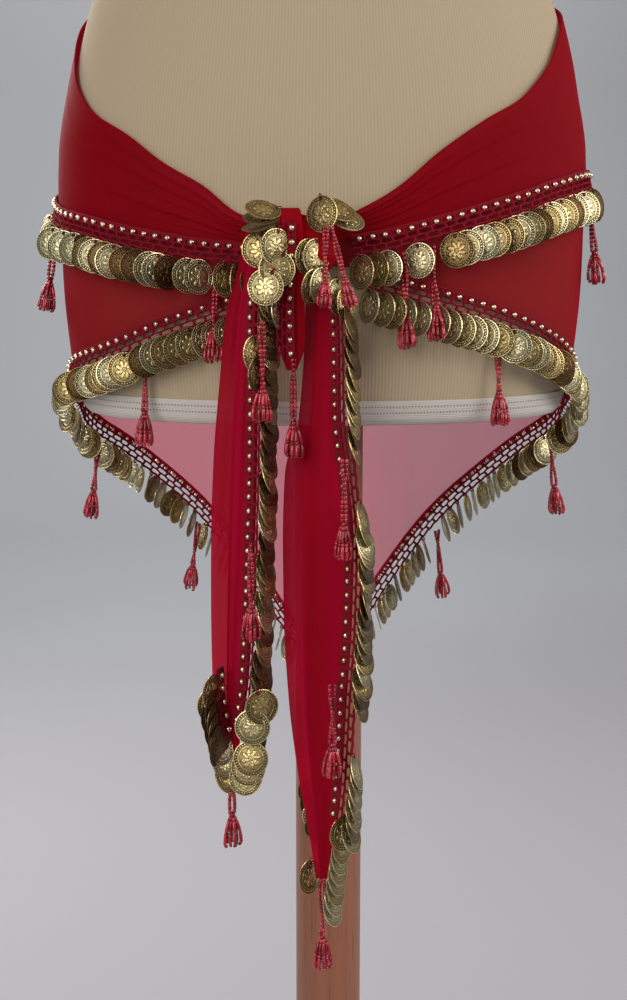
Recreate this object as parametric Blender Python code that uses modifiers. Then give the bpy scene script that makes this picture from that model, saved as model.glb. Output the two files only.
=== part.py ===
"""Belly dance hip scarf, tied in front round a limbless dress form on a wooden stand.

Metres, +Z up. The front of the form faces -Y and +X is the viewer's right.
The scarf is a chiffon triangle with a shorter triangle sewn over it. Its long edge goes round the hips,
its point hangs at the back and its two ends are knotted in front and hang as folded tails.
A netted trim with coins and beaded tassels runs along both lower edges and on down the tails.
"""

import math
from collections import namedtuple

import bmesh
import bpy
import numpy as np
from mathutils import Vector

MM = 0.001

# Driving sizes of the dress form and its stand
FORM_BOTTOM = 0.745
FORM_SIDES = 36
FORM_SQUARENESS = 2.15
HEM_BAND_HEIGHT = 0.012
HEM_BAND_THICKNESS = 0.6 * MM
NECK_CAP_HEIGHT = 0.014
POLE_X = 0.005
POLE_RADIUS = 0.024
BASE_RADIUS = 0.175
BASE_THICKNESS = 0.026
HUB_RADIUS = 0.045
HUB_HEIGHT = 0.020

# Driving sizes of the scarf
CLEARANCE = 0.3 * MM
CLOTH = 1.0 * MM
WRAP_OUT = 2.4 * MM
OVERLAY_OUT = 3.8 * MM
WRAP_COLUMNS = 58
OVERLAY_ROWS = 5
HEM_ROWS = 4
TRIM_THICKNESS = 1.0 * MM
TRIM_WIDTH = 17 * MM
TRIM_OVER_EDGE = 3 * MM
HEM_TRIM_OUT = 4.5 * MM
OVERLAY_TRIM_OUT = 5.7 * MM
COIN_RADIUS = 11 * MM
COIN_THICKNESS = 0.9 * MM
COIN_SIDES = 8
COIN_NECK = 5 * MM
WRAP_COIN_PITCH = 18 * MM
TAIL_COIN_PITCH = 15 * MM
WRAP_COIN_YAW = math.radians(12)
WRAP_COIN_DROP = 0.7
HEM_COIN_TILT = math.radians(7)
OVERLAY_COIN_TILT = math.radians(11)
TAIL_COIN_YAW = math.radians(14)
TAIL_COIN_TILT = math.radians(12)
TAIL_COIN_DROP = math.radians(42)
LEFT_TRIM_TURN = math.radians(52)
RIGHT_TRIM_TURN = math.radians(64)

# Driving sizes of a tassel
STEM_RADIUS = 1.4 * MM
STEM_SIDES = 4
STEM_LENGTH = 38 * MM
HEAD_RADIUS = 4.2 * MM
HEAD_HEIGHT = 6 * MM
STRAND_LENGTH = 17 * MM
STRAND_RADIUS = 1.2 * MM
STRANDS = 5
STRAND_SIDES = 3
STRAND_SPREAD = 4.8 * MM
TASSEL_BELOW_TRIM = 0.6 * MM

FormRow = namedtuple("FormRow", "z half_width half_depth centre_y")
FORM_ROWS = [
    FormRow(0.745, 0.1625, 0.1085, 0.004),
    FormRow(0.749, 0.1660, 0.1120, 0.004),
    FormRow(0.780, 0.1725, 0.1160, 0.005),
    FormRow(0.830, 0.1765, 0.1180, 0.006),
    FormRow(0.875, 0.1775, 0.1170, 0.006),
    FormRow(0.920, 0.1760, 0.1130, 0.005),
    FormRow(0.960, 0.1690, 0.1070, 0.003),
    FormRow(1.000, 0.1595, 0.1000, 0.001),
    FormRow(1.050, 0.1435, 0.0930, 0.000),
    FormRow(1.100, 0.1310, 0.0880, -0.002),
    FormRow(1.150, 0.1330, 0.0910, -0.006),
    FormRow(1.200, 0.1420, 0.1030, -0.012),
    FormRow(1.245, 0.1500, 0.1170, -0.018),
    FormRow(1.290, 0.1540, 0.1130, -0.014),
    FormRow(1.330, 0.1620, 0.0990, -0.005),
    FormRow(1.370, 0.1690, 0.0840, 0.003),
    FormRow(1.405, 0.1670, 0.0700, 0.008),
    FormRow(1.430, 0.1420, 0.0600, 0.010),
    FormRow(1.450, 0.1030, 0.0540, 0.010),
    FormRow(1.466, 0.0720, 0.0520, 0.008),
    FormRow(1.485, 0.0570, 0.0520, 0.006),
    FormRow(1.520, 0.0530, 0.0510, 0.004),
]

# Heights of the scarf's edges. Turn is degrees from the centre of the back, negative on the left.
EdgeRow = namedtuple("EdgeRow", "turn top overlay hem")
EDGE_ROWS = [
    EdgeRow(-170, 0.8670, 0.8570, 0.8400),
    EdgeRow(-163, 0.8705, 0.8572, 0.8330),
    EdgeRow(-155, 0.8770, 0.8585, 0.8270),
    EdgeRow(-146, 0.8930, 0.8605, 0.8205),
    EdgeRow(-135, 0.9080, 0.8650, 0.8110),
    EdgeRow(-125, 0.9260, 0.8700, 0.8005),
    EdgeRow(-115, 0.9400, 0.8760, 0.7915),
    EdgeRow(-105, 0.9620, 0.8810, 0.7840),
    EdgeRow(-98, 0.9850, 0.8860, 0.7755),
    EdgeRow(-90, 1.0040, 0.8910, 0.7590),
    EdgeRow(-80, 1.0180, 0.8950, 0.7385),
    EdgeRow(-66, 1.0280, 0.8930, 0.7160),
    EdgeRow(-50, 1.0360, 0.8800, 0.6790),
    EdgeRow(-36, 1.0400, 0.8650, 0.6415),
    EdgeRow(-22, 1.0430, 0.8475, 0.5980),
    EdgeRow(-10, 1.0440, 0.8330, 0.5570),
    EdgeRow(0, 1.0450, 0.8260, 0.5380),
    EdgeRow(10, 1.0440, 0.8330, 0.5570),
    EdgeRow(22, 1.0430, 0.8475, 0.5980),
    EdgeRow(36, 1.0400, 0.8650, 0.6415),
    EdgeRow(50, 1.0360, 0.8800, 0.6790),
    EdgeRow(66, 1.0300, 0.8950, 0.7160),
    EdgeRow(80, 1.0220, 0.9030, 0.7385),
    EdgeRow(90, 1.0140, 0.9060, 0.7590),
    EdgeRow(100, 1.0020, 0.9060, 0.7810),
    EdgeRow(107, 0.9870, 0.9040, 0.7910),
    EdgeRow(112, 0.9730, 0.9010, 0.7980),
    EdgeRow(118, 0.9590, 0.8972, 0.8055),
    EdgeRow(124, 0.9470, 0.8920, 0.8120),
    EdgeRow(133, 0.9350, 0.8850, 0.8205),
    EdgeRow(147, 0.9130, 0.8750, 0.8305),
    EdgeRow(156, 0.8960, 0.8695, 0.8365),
    EdgeRow(162, 0.8870, 0.8660, 0.8400),
    EdgeRow(169, 0.8790, 0.8635, 0.8435),
    EdgeRow(176, 0.8720, 0.8605, 0.8450),
    EdgeRow(187, 0.8680, 0.8580, 0.8460),
]

# Soft hanging folds of the back panel below the form
FoldRow = namedtuple("FoldRow", "turn width depth")
BACK_FOLDS = [
    FoldRow(-72, 9, 4.5 * MM),
    FoldRow(-47, 11, -4.0 * MM),
    FoldRow(-25, 10, 3.8 * MM),
    FoldRow(-4, 12, -2.8 * MM),
    FoldRow(18, 11, 3.4 * MM),
    FoldRow(42, 12, -3.2 * MM),
    FoldRow(68, 10, 4.5 * MM),
]
FOLD_FULL_DEPTH = 0.10

# Gathers of the overlay that fan out from the knot. Across is the share from its top edge to its lower edge.
GatherRow = namedtuple("GatherRow", "across width height")
OVERLAY_GATHERS = [
    GatherRow(0.30, 0.13, 2.6 * MM),
    GatherRow(0.62, 0.12, 2.2 * MM),
]
GATHER_FADES_AT = 75
LEFT_KNOT_TURN = -170
RIGHT_KNOT_TURN = 187

# The knot
KNOT_CENTRE = (-0.0170, -0.1340, 0.8560)
KNOT_HALF_SIZE = (0.0265, 0.0182, 0.0215)
KNOT_AROUND = 18
KNOT_ALONG = 10
KNOT_GROOVES = 4
KNOT_GROOVE_DEPTH = 0.09

# Sections of the tails, from the knot down
TailRow = namedtuple("TailRow", "z left right y fold")
LEFT_TAIL = [
    TailRow(0.8427, -0.0520, -0.0380, -0.1345, 1.5 * MM),
    TailRow(0.8140, -0.0595, -0.0400, -0.1365, 2.5 * MM),
    TailRow(0.7800, -0.0630, -0.0400, -0.1375, 3.5 * MM),
    TailRow(0.7300, -0.0675, -0.0405, -0.1390, 4.5 * MM),
    TailRow(0.6800, -0.0695, -0.0420, -0.1420, 4.5 * MM),
    TailRow(0.6300, -0.0700, -0.0440, -0.1435, 4.0 * MM),
    TailRow(0.5900, -0.0695, -0.0465, -0.1440, 3.2 * MM),
    TailRow(0.5600, -0.0665, -0.0510, -0.1440, 1.4 * MM),
    TailRow(0.5400, -0.0620, -0.0535, -0.1440, 0.3 * MM),
]
RIGHT_TAIL = [
    TailRow(0.8351, -0.0105, 0.0085, -0.1345, 1.5 * MM),
    TailRow(0.8000, -0.0115, 0.0100, -0.1400, 3.0 * MM),
    TailRow(0.7550, -0.0150, 0.0108, -0.1460, 4.0 * MM),
    TailRow(0.7200, -0.0235, 0.0150, -0.1500, 5.0 * MM),
    TailRow(0.6800, -0.0248, 0.0185, -0.1530, 5.5 * MM),
    TailRow(0.6300, -0.0243, 0.0175, -0.1540, 5.0 * MM),
    TailRow(0.5800, -0.0215, 0.0145, -0.1545, 4.5 * MM),
    TailRow(0.5300, -0.0155, 0.0120, -0.1545, 3.0 * MM),
    TailRow(0.4900, -0.0085, 0.0080, -0.1545, 1.2 * MM),
    TailRow(0.4620, -0.0045, 0.0040, -0.1545, 0.3 * MM),
]
TAIL_PLEATS = 2
TAIL_COLUMNS = 11
TAIL_LEVELS = 13

# The end of the overlay's trim, folded over the knot and hanging in front of it
STRAND_X = -0.0180
STRAND_WIDTH = 14 * MM
STRAND_TOP = 0.877
STRAND_BOTTOM = 0.792
STRAND_Y = -0.1536
KNOT_RIGHT_Y = -0.1496

# Where a tassel hangs in a coin's stead: from which trim, at which angle, and how far it leans out
TasselRow = namedtuple("TasselRow", "trim turn lean")
TASSELS = [
    TasselRow("hem", -130, 4),
    TasselRow("hem", -75, 8),
    TasselRow("hem", -37, 19),
    TasselRow("hem", 0, 0),
    TasselRow("hem", 37, 16),
    TasselRow("hem", 75, 8),
    TasselRow("hem", 128, 4),
    TasselRow("overlay", -151.5, 14),
    TasselRow("overlay", -100, 8),
    TasselRow("overlay", -55, 8),
    TasselRow("overlay", -12, 8),
    TasselRow("overlay", 32, 8),
    TasselRow("overlay", 66, 8),
    TasselRow("overlay", 97, 8),
    TasselRow("overlay", 153.5, 16),
    TasselRow("overlay", 160.5, 16),
]

# Tassels in front of the tails, each tied to the trim behind it
HangRow = namedtuple("HangRow", "x y z")
TAIL_TASSELS = [
    HangRow(-0.0360, -0.1706, 0.8150),
    HangRow(-0.0435, -0.1720, 0.6830),
    HangRow(0.0120, -0.1790, 0.7350),
    HangRow(0.0055, -0.1774, 0.5980),
]

COLOURS = {
    "chiffon": (0.42, 0.004, 0.018, 1.0),
    "coin_trim": (0.43, 0.31, 0.11, 1.0),
    "beads": (0.45, 0.020, 0.045, 1.0),
    "jersey": (0.60, 0.49, 0.36, 1.0),
    "elastic": (0.80, 0.77, 0.72, 1.0),
    "wood": (0.30, 0.14, 0.06, 1.0),
}
ROUGHNESS = {"chiffon": 0.6, "coin_trim": 0.4, "beads": 0.15, "jersey": 0.9, "elastic": 0.85, "wood": 0.45}


def smooth(at, places, values):
    """Reads a table between its rows with a monotone cubic, so an edge has no corner and no overshoot."""
    places = np.asarray(places, float)
    values = np.asarray(values, float)
    step = np.diff(places)
    rise = np.diff(values) / step
    slope = np.zeros(len(values))
    slope[0], slope[-1] = rise[0], rise[-1]
    same_way = rise[:-1] * rise[1:] > 0
    total = np.where(same_way, rise[:-1] + rise[1:], 1.0)
    slope[1:-1] = np.where(same_way, 2 * rise[:-1] * rise[1:] / total, 0.0)
    at = np.clip(at, places[0], places[-1])
    i = np.clip(np.searchsorted(places, at) - 1, 0, len(step) - 1)
    t = (at - places[i]) / step[i]
    start = (1 + 2 * t) * (1 - t) ** 2 * values[i] + t * (1 - t) ** 2 * step[i] * slope[i]
    end = t * t * (3 - 2 * t) * values[i + 1] + t * t * (t - 1) * step[i] * slope[i + 1]
    return start + end


def column(rows, name):
    """One named column of a table."""
    return [getattr(row, name) for row in rows]


def form_size(z):
    """Half width, half depth and middle of the form's section at a height; cloth below it hangs straight."""
    z = max(z, FORM_ROWS[1].z)
    heights = column(FORM_ROWS, "z")
    return [float(smooth(z, heights, column(FORM_ROWS, name))) for name in FormRow._fields[1:]]


def around_form(turn, z, out):
    """A point at an angle round the form, at a height, and so far out from the form's surface."""
    half_width, half_depth, centre_y = form_size(z)
    half_width, half_depth = half_width + out, half_depth + out
    across, along = math.sin(math.radians(turn)), math.cos(math.radians(turn))
    power = FORM_SQUARENESS
    reach = (abs(across / half_width) ** power + abs(along / half_depth) ** power) ** (-1 / power)
    return Vector((reach * across, centre_y + reach * along, z))


def edge(name, turn):
    """Height of one of the scarf's edges at an angle."""
    return float(smooth(turn, column(EDGE_ROWS, "turn"), column(EDGE_ROWS, name)))


def back_fold(turn, z):
    """How far the back panel's soft folds stand out or in, growing from the form's bottom down."""
    grown = min(max((FORM_BOTTOM - z) / FOLD_FULL_DEPTH, 0.0), 1.0)
    waves = sum(f.depth * math.exp(-(((turn - f.turn) / f.width) ** 2)) for f in BACK_FOLDS)
    return grown * waves


def overlay_gather(turn, across):
    """Height of the gathers that fan out from the knot, fading towards the sides."""
    from_knot = min(abs(turn - LEFT_KNOT_TURN), abs(turn - RIGHT_KNOT_TURN))
    strength = max(1 - from_knot / GATHER_FADES_AT, 0.0)
    ridges = sum(g.height * math.exp(-(((across - g.across) / g.width) ** 2)) for g in OVERLAY_GATHERS)
    return ridges * strength


def material(name):
    """A plain finish of this name, made once."""
    found = bpy.data.materials.get(name)
    if found:
        return found
    made = bpy.data.materials.new(name)
    made.use_nodes = True
    shader = made.node_tree.nodes["Principled BSDF"]
    shader.inputs["Base Color"].default_value = COLOURS[name]
    shader.inputs["Roughness"].default_value = ROUGHNESS[name]
    made.diffuse_color = COLOURS[name]
    return made


def place(name, mesh, finish, round_faces=True):
    """Puts a mesh in the scarf's collection as one named object with its finish."""
    made = bpy.data.objects.new(name, mesh)
    bpy.data.collections[COLLECTION].objects.link(made)
    if not mesh.materials:
        mesh.materials.append(material(finish))
    if round_faces:
        mesh.shade_smooth()
        mesh.set_sharp_from_angle(angle=math.radians(40))
    return made


def mesh_from(name, points, faces):
    """A mesh from points and faces, with every face turned outwards."""
    mesh = bpy.data.meshes.new(name)
    mesh.from_pydata([tuple(p) for p in points], [], faces)
    shape = bmesh.new()
    shape.from_mesh(mesh)
    bmesh.ops.recalc_face_normals(shape, faces=shape.faces)
    shape.to_mesh(mesh)
    shape.free()
    return mesh


def ring_faces(rings, sides):
    """Quads between closed rings that follow one another."""
    faces = []
    for ring in range(rings - 1):
        for side in range(sides):
            nxt = (side + 1) % sides
            low, high = ring * sides, (ring + 1) * sides
            faces.append((low + side, low + nxt, high + nxt, high + side))
    return faces


def sheet_faces(rows, columns):
    """Quads of an open sheet, row by row."""
    return [
        (r * columns + c, r * columns + c + 1, (r + 1) * columns + c + 1, (r + 1) * columns + c)
        for r in range(rows - 1)
        for c in range(columns - 1)
    ]


def cloth_wall(name, points, rows, columns):
    """An open sheet of cloth made into a wall of the cloth's thickness, half to each side."""
    made = place(name, mesh_from(name, points, sheet_faces(rows, columns)), "chiffon")
    wall = made.modifiers.new("Cloth thickness", "SOLIDIFY")
    wall.thickness = CLOTH
    wall.offset = 0.0
    wall.use_even_offset = True
    return made


def build_form():
    """The form's body, lofted through its sections, with flat ends."""
    points = []
    for row in FORM_ROWS:
        for side in range(FORM_SIDES):
            turn = math.radians(360 * side / FORM_SIDES)
            across, along = math.sin(turn), math.cos(turn)
            power = FORM_SQUARENESS
            inverse = abs(across / row.half_width) ** power + abs(along / row.half_depth) ** power
            reach = inverse ** (-1 / power)
            points.append((reach * across, row.centre_y + reach * along, row.z))
    rings = len(FORM_ROWS)
    faces = ring_faces(rings, FORM_SIDES)
    faces.append(tuple(range(FORM_SIDES)))
    faces.append(tuple(range((rings - 1) * FORM_SIDES, rings * FORM_SIDES)))
    return place("form_body", mesh_from("form_body", points, faces), "jersey")


def build_hem_band():
    """The elastic band sewn round the form cover's lower edge."""
    bottom = FORM_ROWS[1].z
    inner = CLEARANCE
    outer = CLEARANCE + HEM_BAND_THICKNESS
    profile = [
        (bottom, inner),
        (bottom, outer),
        (bottom + HEM_BAND_HEIGHT, outer),
        (bottom + HEM_BAND_HEIGHT, inner),
    ]
    points = [
        around_form(360 * side / FORM_SIDES, z, out) for z, out in profile for side in range(FORM_SIDES)
    ]
    faces = ring_faces(len(profile), FORM_SIDES)
    last = (len(profile) - 1) * FORM_SIDES
    faces += [
        (last + side, last + (side + 1) % FORM_SIDES, (side + 1) % FORM_SIDES, side)
        for side in range(FORM_SIDES)
    ]
    return place("form_hem_band", mesh_from("form_hem_band", points, faces), "elastic")


def turned(name, profile, finish, at, sides=40):
    """A turned piece: a half profile of (radius, height) from top to bottom, spun with Screw."""
    mesh = bpy.data.meshes.new(name)
    mesh.from_pydata([(r, 0.0, z) for r, z in profile], [(i, i + 1) for i in range(len(profile) - 1)], [])
    made = place(name, mesh, finish, round_faces=False)
    made.location = at
    spin = made.modifiers.new("Turning", "SCREW")
    spin.steps = sides
    spin.render_steps = sides
    spin.use_merge_vertices = True
    spin.merge_threshold = 0.00005
    spin.use_smooth_shade = True
    return made


def build_stand():
    """The wooden pole, its base with a hub, and the cap that closes the neck."""
    top_of_base = BASE_THICKNESS + HUB_HEIGHT
    edge_round = 0.006
    turned(
        "stand_base",
        [
            (0.0, top_of_base),
            (HUB_RADIUS - edge_round, top_of_base),
            (HUB_RADIUS, top_of_base - edge_round),
            (HUB_RADIUS, BASE_THICKNESS + edge_round / 2),
            (HUB_RADIUS + edge_round, BASE_THICKNESS),
            (BASE_RADIUS - edge_round, BASE_THICKNESS),
            (BASE_RADIUS, BASE_THICKNESS - edge_round),
            (BASE_RADIUS, 0.0),
            (0.0, 0.0),
        ],
        "wood",
        (POLE_X, 0.0, 0.0),
    )
    low, high = top_of_base + CLEARANCE, FORM_BOTTOM - CLEARANCE
    turned(
        "stand_pole",
        [(0.0, high), (POLE_RADIUS, high), (POLE_RADIUS, low), (0.0, low)],
        "wood",
        (POLE_X, 0.0, 0.0),
        sides=32,
    )
    neck = FORM_ROWS[-1]
    radius, low = neck.half_depth, neck.z + CLEARANCE
    high = low + NECK_CAP_HEIGHT
    turned(
        "form_neck_cap",
        [(0.0, high), (radius - 0.004, high), (radius, high - 0.004), (radius, low), (0.0, low)],
        "wood",
        (0.0, neck.centre_y, 0.0),
        sides=32,
    )


def cloth_heights(turn):
    """Heights of the cloth's rows at an angle: from the long edge to the overlay's, then on to the hem."""
    upper = np.linspace(edge("top", turn), edge("overlay", turn), OVERLAY_ROWS)
    lower = np.linspace(edge("overlay", turn), edge("hem", turn), HEM_ROWS + 1)
    return list(upper) + list(lower[1:])


def build_wrap():
    """The large triangle round the hips, from its long edge down to the hem, with the point at the back."""
    turns = np.linspace(LEFT_KNOT_TURN, RIGHT_KNOT_TURN, WRAP_COLUMNS)
    heights = [cloth_heights(turn) for turn in turns]
    rows = OVERLAY_ROWS + HEM_ROWS
    points = []
    for row in range(rows):
        for turn, zs in zip(turns, heights):
            points.append(around_form(turn, zs[row], WRAP_OUT + back_fold(turn, zs[row])))
    cloth_wall("chiffon_wrap", points, rows, WRAP_COLUMNS)


def build_overlay():
    """The shorter triangle sewn over the first along the long edge, gathered towards the knot."""
    turns = np.linspace(LEFT_KNOT_TURN, RIGHT_KNOT_TURN, WRAP_COLUMNS)
    heights = [cloth_heights(turn) for turn in turns]
    points = []
    for row in range(OVERLAY_ROWS):
        across = row / (OVERLAY_ROWS - 1)
        for turn, zs in zip(turns, heights):
            points.append(around_form(turn, zs[row], OVERLAY_OUT + overlay_gather(turn, across)))
    cloth_wall("chiffon_overlay", points, OVERLAY_ROWS, WRAP_COLUMNS)


def build_knot():
    """The knot: a rounded lump of cloth with slanting gathers."""
    points, faces = [], []
    for ring in range(1, KNOT_ALONG):
        lean = math.pi * ring / KNOT_ALONG
        for step in range(KNOT_AROUND):
            spin = 2 * math.pi * step / KNOT_AROUND
            groove = 1 - KNOT_GROOVE_DEPTH * (0.5 + 0.5 * math.cos(KNOT_GROOVES * spin + 2.2 * lean))
            points.append(
                (
                    KNOT_CENTRE[0] - KNOT_HALF_SIZE[0] * math.cos(lean),
                    KNOT_CENTRE[1] - KNOT_HALF_SIZE[1] * math.sin(lean) * math.cos(spin) * groove,
                    KNOT_CENTRE[2] + KNOT_HALF_SIZE[2] * math.sin(lean) * math.sin(spin) * groove,
                )
            )
    faces = ring_faces(KNOT_ALONG - 1, KNOT_AROUND)
    left_end, right_end = len(points), len(points) + 1
    points.append((KNOT_CENTRE[0] - KNOT_HALF_SIZE[0], KNOT_CENTRE[1], KNOT_CENTRE[2]))
    points.append((KNOT_CENTRE[0] + KNOT_HALF_SIZE[0], KNOT_CENTRE[1], KNOT_CENTRE[2]))
    last = (KNOT_ALONG - 2) * KNOT_AROUND
    for step in range(KNOT_AROUND):
        nxt = (step + 1) % KNOT_AROUND
        faces.append((left_end, nxt, step))
        faces.append((right_end, last + step, last + nxt))
    place("knot", mesh_from("knot", points, faces), "chiffon")


def tail_section(rows, z):
    """Left edge, right edge, middle and fold depth of a tail at a height."""
    heights = column(rows, "z")[::-1]
    return [float(smooth(z, heights, column(rows, name)[::-1])) for name in TailRow._fields[1:]]


def build_tail(name, rows):
    """A folded tail: at each height its section is a row of pleats from its left edge to its right."""
    points = []
    for level in range(TAIL_LEVELS):
        z = rows[0].z + (rows[-1].z - rows[0].z) * level / (TAIL_LEVELS - 1)
        left, right, y, fold = tail_section(rows, z)
        for c in range(TAIL_COLUMNS):
            share = c / (TAIL_COLUMNS - 1)
            wave = math.cos(2 * math.pi * TAIL_PLEATS * share)
            points.append((left + (right - left) * share, y + fold * wave, z))
    cloth_wall(name, points, TAIL_LEVELS, TAIL_COLUMNS)


class Trim:
    """A netted strip with coins that hang from its lower edge, built as one closed mesh.

    Each station has a point on the strip's upper edge, the way across the strip to its lower edge
    and the way out from the cloth. A coin is an eight-sided disc whose top facet ends a short neck.
    """

    def __init__(self, width=TRIM_WIDTH):
        self.width = width
        self.stations = []
        self.points = []
        self.faces = []

    def add_station(self, upper, across, out):
        self.stations.append((Vector(upper), Vector(across).normalized(), Vector(out).normalized()))

    def lower(self, i):
        upper, across, _ = self.stations[i]
        return upper + across * self.width

    def coin(self, bottom, i, hang, yaw, tilt, neck):
        """A neck from the strip's lower face to a coin that hangs along the given direction."""
        here, after = self.stations[i], self.stations[i + 1]
        across = (here[1] + after[1]).normalized()
        out = (here[2] + after[2]).normalized()
        along = (after[0] - here[0]).normalized()
        hang = Vector(hang).normalized()
        side = (along * hang.dot(across) - across * hang.dot(along)).normalized()
        side = (side * math.cos(yaw) + out * math.sin(yaw)).normalized()
        face = side.cross(hang)
        face = face if face.dot(out) > 0 else -face
        face = (face - hang * face.dot(hang)).normalized()
        down = (hang * math.cos(tilt) + face * math.sin(tilt)).normalized()
        face = (face * math.cos(tilt) - hang * math.sin(tilt)).normalized()
        side = (side - down * side.dot(down)).normalized()
        side = (side - face * side.dot(face)).normalized()
        facet_drop = COIN_RADIUS * math.cos(math.pi / COIN_SIDES)
        middle = (self.lower(i) + self.lower(i + 1)) / 2
        centre = middle + across * neck + out * neck * 0.25 + down * facet_drop
        first = len(self.points)
        for thickness in (COIN_THICKNESS / 2, -COIN_THICKNESS / 2):
            for k in range(COIN_SIDES):
                angle = math.pi / 2 + math.pi / COIN_SIDES * (1 - 2 * k)
                rim = side * math.cos(angle) - down * math.sin(angle)
                self.points.append(centre + rim * COIN_RADIUS + face * thickness)
        front = list(range(first, first + COIN_SIDES))
        back = [v + COIN_SIDES for v in front]
        self.faces.append(tuple(front))
        self.faces.append(tuple(reversed(back)))
        for k in range(1, COIN_SIDES):
            nxt = (k + 1) % COIN_SIDES
            self.faces.append((front[k], back[k], back[nxt], front[nxt]))
        start_front, end_front, end_back, start_back = bottom
        self.faces += [
            (start_front, end_front, front[1]),
            (start_front, front[1], front[0]),
            (start_back, end_back, back[1]),
            (start_back, back[1], back[0]),
            (end_front, end_back, back[1], front[1]),
            (start_front, start_back, back[0], front[0]),
        ]

    def build(self, name, hangs, neck=COIN_NECK):
        """Joins the stations into a strip. hangs gives for each stretch None, or (direction, yaw, tilt)."""
        half = TRIM_THICKNESS / 2
        rings = []
        for upper, across, out in self.stations:
            first = len(self.points)
            lower = upper + across * self.width
            self.points += [upper + out * half, upper - out * half, lower - out * half, lower + out * half]
            rings.append((first, first + 1, first + 2, first + 3))
        for i in range(len(rings) - 1):
            a, b = rings[i], rings[i + 1]
            self.faces.append((a[0], b[0], b[1], a[1]))
            self.faces.append((a[1], b[1], b[2], a[2]))
            self.faces.append((a[3], b[3], b[0], a[0]))
            bottom = (a[3], b[3], b[2], a[2])
            if hangs[i] is None:
                self.faces.append(bottom)
            else:
                direction, yaw, tilt = hangs[i]
                self.coin(bottom, i, direction, yaw, tilt, neck)
        self.faces.append(rings[0])
        self.faces.append(rings[-1])
        return place(name, mesh_from(name, self.points, self.faces), "coin_trim")


def wrap_trim(edge_name, out, start, end, tilt):
    """A trim along one edge of the cloth round the hips, from one angle to another.

    Coins hang between straight down and square to the strip, so that they clear the strip on a slope.
    Returns the places where a tassel hangs in a coin's stead: (point, way out, lean).
    """
    turns = np.linspace(start, end, 900)

    def at(turn, lift):
        z = edge(edge_name, turn) + lift
        return around_form(turn, z, out + back_fold(turn, z))

    curve = [at(turn, 0.0) for turn in turns]
    steps = [(b - a).length for a, b in zip(curve, curve[1:])]
    reach = np.concatenate([[0.0], np.cumsum(steps)])
    count = round(reach[-1] / WRAP_COIN_PITCH)
    trim = Trim()
    for k in range(count + 1):
        turn = float(np.interp(reach[-1] * k / count, reach, turns))
        middle = at(turn, 0.0)
        along = (at(turn + 0.5, 0.0) - at(turn - 0.5, 0.0)).normalized()
        upright = (at(turn, 0.004) - at(turn, -0.004)).normalized()
        outward = along.cross(upright)
        outward = outward if outward.dot(middle - Vector((0, 0, middle.z))) > 0 else -outward
        across = outward.cross(along).normalized()
        across = across if across.z < 0 else -across
        trim.add_station(middle - across * TRIM_OVER_EDGE, across, outward)
    hangs = []
    for upper, across, _ in trim.stations[:-1]:
        yaw = math.copysign(WRAP_COIN_YAW, upper.x)
        hangs.append((across + Vector((0, 0, -WRAP_COIN_DROP)), yaw, tilt))
    tassels = []
    for row in TASSELS:
        if row.trim != edge_name:
            continue
        k = min(int(count * np.interp(row.turn, turns, reach) / reach[-1]), count - 1)
        hangs[k] = None
        ends = sorted((trim.lower(k), trim.lower(k + 1)), key=lambda end: end.z)
        steep = (ends[1].z - ends[0].z) / (ends[1] - ends[0]).length
        point = ends[0].lerp(ends[1], 0.5 + 0.5 * min(steep * 1.3, 1.0))
        point.z -= STEM_RADIUS * steep / math.sqrt(1 - steep * steep)
        tassels.append((point, trim.stations[k][2], row.lean))
    trim.build(f"trim_{edge_name}", hangs)
    return tassels


def tail_trim(name, rows, side, top, bottom, turn, inset=2 * MM, width=10 * MM, forward=1.2 * MM):
    """A trim down one edge of a tail, turned forward so that its coins are seen nearly edge on.

    side is +1 for the right edge and -1 for the left one.
    """
    across = Vector((side * math.cos(turn), -math.sin(turn), 0))
    outward = Vector((-side * math.sin(turn), -math.cos(turn), 0))
    count = max(round((top - bottom) / TAIL_COIN_PITCH), 1)
    trim = Trim(width)
    for k in range(count + 1):
        z = top + (bottom - top) * k / count
        left, right, y, fold = tail_section(rows, z)
        x = right if side > 0 else left
        trim.add_station((x - side * inset, y - fold - forward, z), across, outward)
    hang = across * math.cos(TAIL_COIN_DROP) - Vector((0, 0, math.sin(TAIL_COIN_DROP)))
    hangs = [(hang, TAIL_COIN_YAW, TAIL_COIN_TILT) for _ in range(count)]
    trim.build(name, hangs, neck=5 * MM)


def build_knot_coins():
    """The two bunches of coins at the knot, each on the bit of trim that carries it."""
    left = Trim(7 * MM)
    for k in range(4):
        left.add_station((-0.0256, STRAND_Y, 0.8810 - 0.0165 * k), (-1, 0, 0), (0, -1, 0))
    hang = (-math.cos(math.radians(30)), 0, -math.sin(math.radians(30)))
    left.build("trim_knot_left", [(hang, math.radians(16), math.radians(12))] * 3, neck=4 * MM)
    right = Trim(8 * MM)
    for k in range(3):
        right.add_station((-0.004 + 0.0125 * k, KNOT_RIGHT_Y, 0.8585 + 0.003 * k), (0, 0, 1), (0, -1, 0))
    right.build("trim_knot_right", [((0.1, 0, 1), math.radians(14), math.radians(10))] * 2, neck=4 * MM)


def build_strand():
    """The strip that lies over the knot and hangs in front of it."""
    trim = Trim(STRAND_WIDTH)
    heights = np.linspace(STRAND_TOP, STRAND_BOTTOM, 7)
    for z in heights:
        trim.add_station((STRAND_X - STRAND_WIDTH / 2, STRAND_Y, z), (1, 0, 0), (0, -1, 0))
    trim.build("trim_strand", [None] * (len(heights) - 1))


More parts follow.
